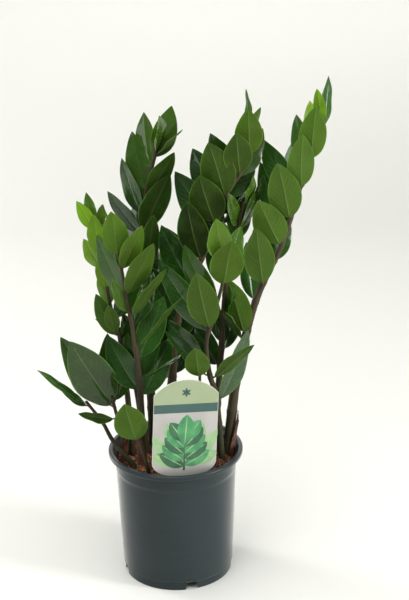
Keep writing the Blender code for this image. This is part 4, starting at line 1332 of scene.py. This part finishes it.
def label_shape(settings):
    """The card with its printed field, mark, band and a plain sprig of leaf pairs."""
    outline = label_outline()
    made = skin([[(x, y, z) for x, z in shape] for y, shape in
                 ((-LABEL_THICKNESS / 2, label_outline(0.0001)), (-LABEL_THICKNESS / 4, outline),
                  (LABEL_THICKNESS / 4, outline), (LABEL_THICKNESS / 2, label_outline(0.0001)))])
    for face in made.faces:
        face.material_index = 0
    inner = label_outline(0.0004)
    band_top = LABEL_SHOULDER - BAND_DROP
    band_foot = band_top - BAND_HEIGHT
    picture = cut_below(cut_above(inner, band_foot), 0.006)
    print_layer(made, picture, 1.0, 1)
    print_layer(made, cut_below(cut_above(inner, band_top), band_foot), 1.6, 2)
    print_layer(made, cut_below(inner, band_top), 1.0, 3)
    ring = [(x * MARK_RADIUS, LABEL_SHOULDER + 0.0025 + z * MARK_RADIUS)
            for x, z in arc((0, 0), 1.0, 0, 348, 29)]
    for turn in range(MARK_POINTS):
        point = leaf_outline((0, LABEL_SHOULDER + 0.0022), 2 * math.pi * turn / MARK_POINTS, 0.0046, 0.0022)
        print_layer(made, point, 1.8, 2)
    print_layer(made, cut_below(ring, LABEL_SHOULDER + 0.0049), 1.4, 3)
    top = band_foot - 0.006
    foot = LABEL_LIFT - 0.004
    for x, angle, length in SPRIG_BACKS:
        print_layer(made, leaf_outline((x, foot + 0.004), angle, length, 0.0125), 1.5, 6)
    print_layer(made, [(-0.0011, foot - 0.003), (0.0011, foot - 0.003), (0.0006, top - 0.006),
                       (-0.0006, top - 0.006)], 2.0, 4)
    for pair in range(settings.leaf_pairs):
        share = pair / max(settings.leaf_pairs - 1, 1)
        height = foot + 0.001 + (top - foot - 0.024) * share
        length = 0.0275 - 0.0035 * share
        spread = 1.0 - 0.38 * share
        for side in (-1, 1):
            angle = side * spread
            base = (side * 0.0006, height + (0.0012 if side > 0 else 0.0))
            slot = 5 if (pair + (side > 0)) % 2 else 4
            print_layer(made, leaf_outline(base, angle, length, 0.0138), 2.4 + 0.3 * pair, slot)
            vein = leaf_outline(base, angle, length * 0.93, 0.0011, 5)
            print_layer(made, vein, 2.6 + 0.3 * pair, 6)
    print_layer(made, leaf_outline((0, top - 0.026), 0.05, 0.030, 0.0165), 4.2, 5)
    print_layer(made, leaf_outline((0, top - 0.026), 0.05, 0.0285, 0.0012), 4.5, 6)
    return stand_label(made)


# ---------------------------------------------------------------- stems, leaflets and sheaths

def stem_shape(stem, number):
    """A fleshy stem: swollen where leaflets join, with a ring scar at each and a rounded tip."""
    rachis = Rachis(stem, STEM_FINE_STEPS)
    full = rachis.lengths[-1]
    nodes = [rachis.length_at(leaflet.height * MM) for leaflet in stem.leaflets]
    nodes += [full * share for share in BARE_SCARS if full > 0.1]
    places = {0.0, full}
    places.update(full * step / STEM_RINGS for step in range(STEM_RINGS + 1))
    for node in nodes:
        places.update(min(max(node + offset * MM, 0), full) for offset in SCAR_OFFSETS)
    made = bmesh.new()
    brown_layer = made.verts.layers.float.new("brown")
    ring_layer = made.verts.layers.float.new("ring")
    rings = []
    places = sorted(places)
    kept = [places[0]]
    for place in places[1:]:
        if place - kept[-1] > 0.00012:
            kept.append(place)
    for length in kept:
        middle, along, radius = rachis.at_length(length)
        side = Vector((0, 1, 0)).cross(along).normalized()
        front = along.cross(side)
        share = length / full
        near = min((abs(length - node) for node in nodes), default=1.0)
        swell = 1 + 0.13 * math.exp(-(near / 0.0022) ** 2) - 0.05 * math.exp(-((near - 0.0009) / 0.0004) ** 2)
        foot = 1 + 0.07 * math.exp(-(length / 0.016) ** 2)
        tip = 1.0 if share < 0.995 else 0.6
        ring = []
        for step in range(STEM_FINE_SIDES):
            angle = 2 * math.pi * step / STEM_FINE_SIDES
            out = side * math.cos(angle) + front * math.sin(angle)
            ribs = 0.03 * math.cos(3 * angle + number)
            groove = 1 + 0.035 * wobble(middle + out * radius, 220.0, number) + ribs
            corner = made.verts.new(middle + out * radius * swell * foot * tip * groove)
            corner[brown_layer] = clamp(STEM_BROWN[number] + 0.35 * wobble(middle, 24.0, number)
                                        + 0.55 * (share - 0.40))
            corner[ring_layer] = math.exp(-((near - 0.0003) / 0.0005) ** 2) * (0.55 + 0.45 * math.cos(angle))
            ring.append(corner)
        rings.append(ring)
    for lower, upper in zip(rings, rings[1:]):
        bridge(made, lower, upper)
    made.faces.new(rings[0][::-1])
    end = made.verts.new(rachis.points[-1] + rachis.tangent(len(rachis.points) - 1) * rachis.radii[-1] * 0.6)
    end[brown_layer] = STEM_BROWN[number]
    fan(made, rings[-1], end)
    return made


def blade_point(centre, across, upper, reach, share, place, settings, seed):
    """A point of a blade's middle surface: place runs from -1 to 1 across it."""
    size = abs(place)
    fold = math.tan(settings.fold)
    lift = fold * reach * (size - 0.42 * size ** 3)
    shift = 1.7 if place > 0 else 0.0
    wave = settings.waviness * size ** 2.2 * math.sin(seed + share * (9.0 + seed % 3.0) + shift)
    return centre + across * place * reach + upper * (lift + wave * math.sin(math.pi * share))


class LeafSkin:
    """The corners and faces of one leaflet, with its tone, its youth and places on the blade."""

    def __init__(self, made, tone, youth):
        self.made = made
        self.places = made.loops.layers.uv.get("blade") or made.loops.layers.uv.new("blade")
        layers = made.verts.layers.float
        self.tone_layer = layers.get("tone") or layers.new("tone")
        self.youth_layer = layers.get("youth") or layers.new("youth")
        self.tone = tone
        self.youth = youth

    def corner(self, point):
        made_corner = self.made.verts.new(point)
        made_corner[self.tone_layer] = self.tone
        made_corner[self.youth_layer] = self.youth
        return made_corner

    def face(self, corners, places, slot):
        made_face = self.made.faces.new(corners)
        made_face.material_index = slot
        for loop, place in zip(made_face.loops, places):
            loop[self.places].uv = place


def blade_rows(leaflet, base, out, settings, phase, bend):
    """A blade's sections from foot to tip: each one's share of the length, upper points and lower points."""
    along, across, upper = blade_axes(leaflet)
    length = leaflet.length * MM
    half = leaflet.width * MM / 2
    rows = []
    for row in range(BLADE_ROWS + 1):
        t = row / BLADE_ROWS
        share = 0.5 - 0.5 * math.cos(math.pi * t)
        share = 0.65 * share + 0.35 * t
        run = BLADE_START + (STALK_LENGTH - BLADE_START + length) * share
        outset = STALK_OUTSET * (1 - 0.62 * math.exp(-share / 0.10))
        centre = base + out * outset + along * run - upper * length * settings.arch * share ** 2
        centre = centre + across * length * bend * share * (1 - share) * 2
        wide = blade_half_width(share, FULL_BASE_POWER, DRAWN_TIP_POWER)
        reach = max(half * wide, STALK_HALF * (1 - share))
        body = settings.thickness * (0.55 - 0.25 * share) * min(1.0, (1 - share) * 9 + 0.15)
        rib = 0.30 * MM * (1 - share) ** 0.8 * min(1.0, reach / (2.5 * MM))
        top = []
        low = []
        for place in BLADE_COLUMNS:
            size = abs(place)
            point = blade_point(centre, across, upper, reach, share, place, settings, phase)
            thick = body * (1 - 0.55 * size ** 1.5)
            groove = rib * math.exp(-(place * reach / (0.55 * MM)) ** 2)
            ridge = rib * 1.2 * math.exp(-(place * reach / (0.6 * MM)) ** 2)
            top.append(point + upper * (thick * 0.5 - groove))
            low.append(point - upper * (thick * 0.5 + ridge))
        rows.append((share, top, low))
    return rows


def blade_onto(leaf, rows):
    """Skins a blade: upper faces, under faces, the two edges, the pointed tip and the flat foot."""
    tip = leaf.corner(rows[-1][1][len(BLADE_COLUMNS) // 2])
    tops = [[leaf.corner(point) for point in top] for _, top, _ in rows[:-1]]
    lows = [[leaf.corner(point) for point in low] for _, _, low in rows[:-1]]
    columns = [0.5 + 0.5 * place for place in BLADE_COLUMNS]
    last = len(BLADE_COLUMNS) - 1
    for row in range(len(tops) - 1):
        here, after = rows[row][0], rows[row + 1][0]
        top, next_top = tops[row], tops[row + 1]
        low, next_low = lows[row], lows[row + 1]
        for column in range(last):
            left, right = columns[column], columns[column + 1]
            places = ((left, here), (right, here), (right, after), (left, after))
            leaf.face((top[column], top[column + 1], next_top[column + 1], next_top[column]), places, 0)
            leaf.face((low[column], next_low[column], next_low[column + 1], low[column + 1]),
                      (places[0], places[3], places[2], places[1]), 1)
        for edge, flip in ((0, True), (last, False)):
            four = [top[edge], low[edge], next_low[edge], next_top[edge]]
            places = [(columns[edge], here)] * 2 + [(columns[edge], after)] * 2
            leaf.face(four[::-1] if flip else four, places[::-1] if flip else places, 0)
    end = rows[-2][0]
    for column in range(last):
        places = ((columns[column], end), (columns[column + 1], end), (0.5, 1.0))
        leaf.face((tops[-1][column], tops[-1][column + 1], tip), places, 0)
        leaf.face((lows[-1][column + 1], lows[-1][column], tip), (places[1], places[0], places[2]), 1)
    for edge, flip in ((0, True), (last, False)):
        three = [tops[-1][edge], lows[-1][edge], tip]
        leaf.face(three[::-1] if flip else three, [(columns[edge], end)] * 3, 0)
    for column in range(last):
        foot = (tops[0][column + 1], tops[0][column], lows[0][column], lows[0][column + 1])
        leaf.face(foot, MIDRIB_FOOT * 4, 0)


def stalk_onto(leaf, leaflet, base, out):
    """The short bent stalk between a stem and its blade."""
    along, _, upper = blade_axes(leaflet)
    length = leaflet.length * MM
    start = base - out * 0.0006
    bend_point = base + out * STALK_OUTSET * 0.35 + along * BLADE_START
    finish = base + out * STALK_OUTSET * 0.6 + along * (BLADE_START + length * 0.07)
    route = smooth_route([start, bend_point, finish], STALK_STEPS)
    angles = [2 * math.pi * step / STALK_SIDES for step in range(STALK_SIDES)]
    rings = []
    for index, point in enumerate(route):
        share = index / (len(route) - 1)
        way = (route[min(index + 1, len(route) - 1)] - route[max(index - 1, 0)]).normalized()
        side = way.cross(upper).normalized()
        over = side.cross(way)
        radius = (1.2 - 0.75 * share) * MM * min(1.0, leaflet.width / 20 + 0.25)
        rings.append([leaf.corner(point + side * radius * math.cos(angle)
                                  + over * radius * 0.85 * math.sin(angle)) for angle in angles])
    for lower, higher in zip(rings, rings[1:]):
        for step in range(STALK_SIDES):
            after = (step + 1) % STALK_SIDES
            leaf.face((lower[step], lower[after], higher[after], higher[step]), MIDRIB_FOOT * 4, 2)
    leaf.face(rings[0][::-1], MIDRIB_FOOT * STALK_SIDES, 2)
    leaf.face(rings[-1], MIDRIB_FOOT * STALK_SIDES, 2)


def leaflet_into(made, rachis, leaflet, joined, settings, seed):
    """Adds one leaflet: a folded waxy blade with a grooved midrib above and a raised one below."""
    chance = random.Random(seed)
    tone = clamp(LEAF_TONE[rachis.stem.name] + chance.uniform(-0.22, 0.22))
    phase = chance.uniform(0, 6.2)
    bend = chance.uniform(-0.035, 0.035)
    base, out = blade_base(rachis, leaflet, joined)
    leaf = LeafSkin(made, tone, leaflet_youth(rachis.stem, leaflet))
    blade_onto(leaf, blade_rows(leaflet, base, out, settings, phase, bend))
    stalk_onto(leaf, leaflet, base, out)


def leaflet_youth(stem, leaflet):
    """How young a leaflet is: as listed, or else a little younger toward the top of a tall stem."""
    if (stem.name, leaflet.height) in YOUNG:
        return YOUNG[(stem.name, leaflet.height)]
    top = max(other.height for other in stem.leaflets)
    return 0.22 * max(0.0, 1 - (top - leaflet.height) / 70) if top > 200 else 0.06


def sheath_shape(rachis, sheath, number):
    """A dry scale clasping a stem's foot: ribbed, split along its top, with a frayed curling edge."""
    made = bmesh.new()
    outers = []
    inners = []
    for station in range(SHEATH_ROWS + 1):
        share = station / SHEATH_ROWS
        outer = []
        inner = []
        for step in range(SHEATH_ARCS + 1):
            place = 2 * step / SHEATH_ARCS - 1
            fray = 1 - 0.22 * abs(place) ** 1.5 + 0.10 * wobble((place * 3.0, number * 2.0, 0.0), 1.7, number)
            height = GAP + min(share * fray, 1.0) * sheath.height * MM
            middle, along, radius = rachis.at(height)
            side = Vector((0, 1, 0)).cross(along).normalized()
            back = along.cross(side)
            half_span = math.radians(sheath.span / 2) * (1 - SHEATH_NARROWING * share ** 2)
            angle = math.radians(sheath.facing) + half_span * place
            way = side * math.cos(angle) + back * math.sin(angle)
            curl = 0.0011 * abs(place) ** 4 * share + 0.0009 * share ** 5
            rib = 0.00013 * math.sin(place * 26 + number)
            rib += 0.00022 * wobble((place * 4, share * 3, number), 1.5, 5)
            near = radius * 1.13 + SHEATH_GAP + curl + rib
            thin = SHEATH_THICKNESS * (0.75 - 0.45 * share) * (1 - 0.4 * abs(place) ** 3)
            inner.append(made.verts.new(middle + way * near))
            outer.append(made.verts.new(middle + way * (near + thin)))
        outers.append(outer)
        inners.append(inner)
    for row in range(SHEATH_ROWS):
        out, out_after = outers[row], outers[row + 1]
        near, near_after = inners[row], inners[row + 1]
        for step in range(SHEATH_ARCS):
            made.faces.new((out[step], out[step + 1], out_after[step + 1], out_after[step]))
            made.faces.new((near[step], near_after[step], near_after[step + 1], near[step + 1]))
        for edge in (0, SHEATH_ARCS):
            made.faces.new((out[edge], out_after[edge], near_after[edge], near[edge]))
    for step in range(SHEATH_ARCS):
        for out, near in ((outers[0], inners[0]), (outers[-1], inners[-1])):
            made.faces.new((out[step], out[step + 1], near[step + 1], near[step]))
    return made


# ---------------------------------------------------------------- operators

def courses():
    """Every stem's course, as the frame has them."""
    return [Rachis(stem) for stem in STEMS]


class ZZ_OT_make_pot(Operator):
    """Makes the nursery pot with its rolled rim, mould line, foot notches and drain holes"""
    bl_idname = "zz_plant.make_pot"
    bl_label = "Make Pot"

    def execute(self, context):
        settings = context.scene.zz_pot
        surface = finish_of("moulded_plastic", pot_finish, settings)
        pot = piece("nursery_pot", pot_shape(settings.bead), [surface], 35)
        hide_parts("pot")
        return {"FINISHED"}


class ZZ_OT_make_soil(Operator):
    """Makes the potting mix with its coir threads and crumbs"""
    bl_idname = "zz_plant.make_soil"
    bl_label = "Make Soil"

    def execute(self, context):
        settings = context.scene.zz_soil
        surface = finish_of("potting_mix", soil_finish)
        soil = piece("potting_mix", soil_shape(settings.roughness), [surface], 180)
        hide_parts("soil")
        roots = []
        for rachis in courses():
            middle, _, radius = rachis.at(0.0)
            roots.append((Vector((middle.x, middle.y, 0)), radius * 1.3))
        coir = finish_of("coir_threads", fibre_finish)
        for name, shape in (("coir_threads", threads_shape(settings, roots)),
                            ("coir_crumbs", crumbs_shape(settings, roots))):
            piece(name, shape, [coir], 180)
        return {"FINISHED"}


class ZZ_OT_make_label(Operator):
    """Makes the plant label with its printed band and sprig"""
    bl_idname = "zz_plant.make_label"
    bl_label = "Make Label"

    def execute(self, context):
        settings = context.scene.zz_label
        card = tuple(settings.card_colour)
        band = tuple(settings.band_colour)
        surfaces = [ink_finish("label_card", (0.72, 0.74, 0.68), (0.66, 0.69, 0.62)),
                    ink_finish("label_picture", (0.41, 0.40, 0.37), (0.50, 0.49, 0.46)),
                    ink_finish("label_band", band, scaled(band, 1.25)),
                    ink_finish("label_field", card, scaled(card, 1.08)),
                    ink_finish("label_leaf_dark", (0.020, 0.085, 0.040), (0.035, 0.16, 0.060), 90.0),
                    ink_finish("label_leaf", (0.035, 0.22, 0.080), (0.080, 0.36, 0.13), 90.0),
                    ink_finish("label_leaf_pale", (0.24, 0.44, 0.20), (0.34, 0.52, 0.26), 90.0)]
        label = piece("printed_label", label_shape(settings), surfaces, 30)
        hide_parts("plant_label")
        return {"FINISHED"}


class ZZ_OT_make_stems(Operator):
    """Makes the twelve stems"""
    bl_idname = "zz_plant.make_stems"
    bl_label = "Make Stems"

    def execute(self, context):
        skin_surface = finish_of("streaked_stem", stem_finish, context.scene.zz_leaf)
        for number, stem in enumerate(STEMS):
            made = piece(f"{stem.name}_stalk", stem_shape(stem, number), [skin_surface], 60)
            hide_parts(stem.name)
        return {"FINISHED"}


class ZZ_OT_make_leaflets(Operator):
    """Makes every leaflet: the loose ones apart, and the crowded ones of a stem together"""
    bl_idname = "zz_plant.make_leaflets"
    bl_label = "Make Leaflets"

    def execute(self, context):
        settings = context.scene.zz_leaf
        surfaces = [finish_of("leaf_upper", upper_leaf_finish, settings),
                    finish_of("leaf_under", under_leaf_finish, settings),
                    finish_of("leaf_stalk", leaf_stalk_finish, settings)]
        placed = settled_leaflets(courses())
        for rank, rachis in enumerate(courses()):
            name = rachis.stem.name
            crowded = bmesh.new()
            for number, (leaflet, joined) in enumerate(placed[name], start=1):
                seed = rank * 100 + number
                if joined:
                    leaflet_into(crowded, rachis, leaflet, joined, settings, seed)
                    continue
                single = bmesh.new()
                leaflet_into(single, rachis, leaflet, joined, settings, seed)
                made = piece(f"{name}_blade_{number}", single, surfaces, 75)
                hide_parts(f"{name}_leaflet_{number}")
            if crowded.verts:
                upper = piece(f"{name}_upper_leaflets", crowded, surfaces, 75)
                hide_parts(name)
            else:
                crowded.free()
        return {"FINISHED"}


class ZZ_OT_make_sheaths(Operator):
    """Makes the dry sheaths at the stems' feet"""
    bl_idname = "zz_plant.make_sheaths"
    bl_label = "Make Sheaths"

    def execute(self, context):
        surface = finish_of("dry_sheath", sheath_finish)
        by_name = {rachis.stem.name: rachis for rachis in courses()}
        for number, sheath in enumerate(SHEATHS):
            made = piece(f"{sheath.stem}_dry_sheath", sheath_shape(by_name[sheath.stem], sheath, number),
                         [surface], 50)
            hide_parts(f"{sheath.stem}_sheath")
        return {"FINISHED"}


def floor_finish(colour):
    """Matt pale board with the faintest grain."""
    finish = Finish("studio_floor")
    grain = finish.noise(finish.position(), 3.0, 2.0)
    return finish.feed(Base_Color=finish.blend(grain, colour, scaled(colour, 0.985)),
                       Roughness=0.75 + 0.1 * grain)


def soft_light(name, place, target, size, strength):
    """An oblong soft light at a place, turned toward its target, both given from the pot's foot."""
    lamp = bpy.data.lights.new(name, "AREA")
    lamp.shape = "RECTANGLE"
    lamp.size, lamp.size_y = size
    lamp.energy = strength
    made = bpy.data.objects.new(name, lamp)
    bpy.context.scene.collection.objects.link(made)
    made.location = PLACE + Vector(place)
    made.rotation_euler = (PLACE + Vector(target) - made.location).to_track_quat("-Z", "Y").to_euler()


def sweep_shape():
    """A wide floor that bends up into a backdrop."""
    bend = arc((SWEEP_BACK, SWEEP_BEND), SWEEP_BEND, -90, 0, SWEEP_BEND_STEPS)
    outline = [(SWEEP_FRONT, 0.0), *bend, (SWEEP_BACK + SWEEP_BEND, SWEEP_TOP)]
    sweep = bmesh.new()
    left = [sweep.verts.new((-SWEEP_HALF_WIDTH, y, z)) for y, z in outline]
    right = [sweep.verts.new((SWEEP_HALF_WIDTH, y, z)) for y, z in outline]
    for here in range(len(outline) - 1):
        sweep.faces.new((left[here], right[here], right[here + 1], left[here + 1]))
    return sweep


def open_air(strength):
    """White air from all round, dimmer on the side of the camera."""
    world = bpy.data.worlds.new("studio_air")
    world.use_nodes = True
    tree = world.node_tree
    way = tree.nodes.new("ShaderNodeTexCoord")
    parts = tree.nodes.new("ShaderNodeSeparateXYZ")
    fade = tree.nodes.new("ShaderNodeMapRange")
    fade.inputs["From Min"].default_value = -0.9
    fade.inputs["From Max"].default_value = 0.6
    fade.inputs["To Min"].default_value = SHADED_AIR * strength
    fade.inputs["To Max"].default_value = strength
    tree.links.new(way.outputs["Generated"], parts.inputs[0])
    tree.links.new(parts.outputs["Y"], fade.inputs["Value"])
    tree.links.new(fade.outputs[0], tree.nodes["Background"].inputs["Strength"])
    tree.nodes["Background"].inputs["Color"].default_value = (1, 1, 1, 1)
    return world


def aimed_camera(rise, distance):
    """A camera with a long lens in front of the plant, at a rise and distance from its aim."""
    lens = bpy.data.cameras.new("studio_camera")
    lens.sensor_fit = "VERTICAL"
    lens.sensor_height = LENS_SENSOR
    lens.lens = LENS_LENGTH
    lens.clip_end = LENS_REACH
    lens.dof.use_dof = False
    camera = bpy.data.objects.new("studio_camera", lens)
    bpy.context.scene.collection.objects.link(camera)
    aim = PLACE + Vector(CAMERA_AIM)
    back = Vector((0, -math.cos(rise), math.sin(rise)))
    camera.matrix_world = (Matrix.Translation(aim + back * distance)
                           @ back.to_track_quat("Z", "Y").to_matrix().to_4x4()
                           @ Matrix.Rotation(CAMERA_ROLL, 4, "Z"))
    return camera


class ZZ_OT_set_stage(Operator):
    """Makes the pale sweep, the soft lights and the camera"""
    bl_idname = "zz_plant.set_stage"
    bl_label = "Set Stage"

    def execute(self, context):
        settings = context.scene.zz_stage
        floor = object_of("pale_sweep", sweep_shape())
        floor.data.materials.append(floor_finish(tuple(settings.floor_colour)))
        floor.data.shade_smooth()

        for name, place, target, size, share in LIGHTS:
            soft_light(name, place, target, size, settings.light * share)

        scene = context.scene
        scene.world = open_air(settings.air)
        scene.view_settings.view_transform = "Standard"
        scene.camera = aimed_camera(settings.rise, settings.distance)
        return {"FINISHED"}


class ZZ_PT_plant(Panel):
    """Everything that makes the potted plant, in order"""
    bl_label = "ZZ Plant"
    bl_idname = "ZZ_PT_plant"
    bl_space_type = "VIEW_3D"
    bl_region_type = "UI"
    bl_category = "ZZ Plant"

    def draw(self, context):
        layout = self.layout
        for group in ("zz_leaf", "zz_pot", "zz_soil", "zz_label", "zz_stage"):
            box = layout.box()
            settings = getattr(context.scene, group)
            for name in type(settings).__annotations__:
                box.prop(settings, name)
        for operator in OPERATORS:
            layout.operator(operator.bl_idname)


GROUPS = {"zz_leaf": ZZLeafSettings, "zz_pot": ZZPotSettings, "zz_soil": ZZSoilSettings,
          "zz_label": ZZLabelSettings, "zz_stage": ZZStageSettings}
OPERATORS = (ZZ_OT_make_pot, ZZ_OT_make_soil, ZZ_OT_make_label, ZZ_OT_make_stems, ZZ_OT_make_leaflets,
             ZZ_OT_make_sheaths, ZZ_OT_set_stage)


def register():
    for name, group in GROUPS.items():
        bpy.utils.register_class(group)
        setattr(bpy.types.Scene, name, PointerProperty(type=group))
    for operator in OPERATORS:
        bpy.utils.register_class(operator)
    bpy.utils.register_class(ZZ_PT_plant)


def unregister():
    bpy.utils.unregister_class(ZZ_PT_plant)
    for operator in reversed(OPERATORS):
        bpy.utils.unregister_class(operator)
    for name, group in reversed(GROUPS.items()):
        delattr(bpy.types.Scene, name)
        bpy.utils.unregister_class(group)


def main():
    register()
    bpy.ops.zz_plant.make_pot()
    bpy.ops.zz_plant.make_soil()
    bpy.ops.zz_plant.make_label()
    bpy.ops.zz_plant.make_stems()
    bpy.ops.zz_plant.make_leaflets()
    bpy.ops.zz_plant.make_sheaths()
    bpy.ops.zz_plant.set_stage()


if __name__ == "__main__":
    main()
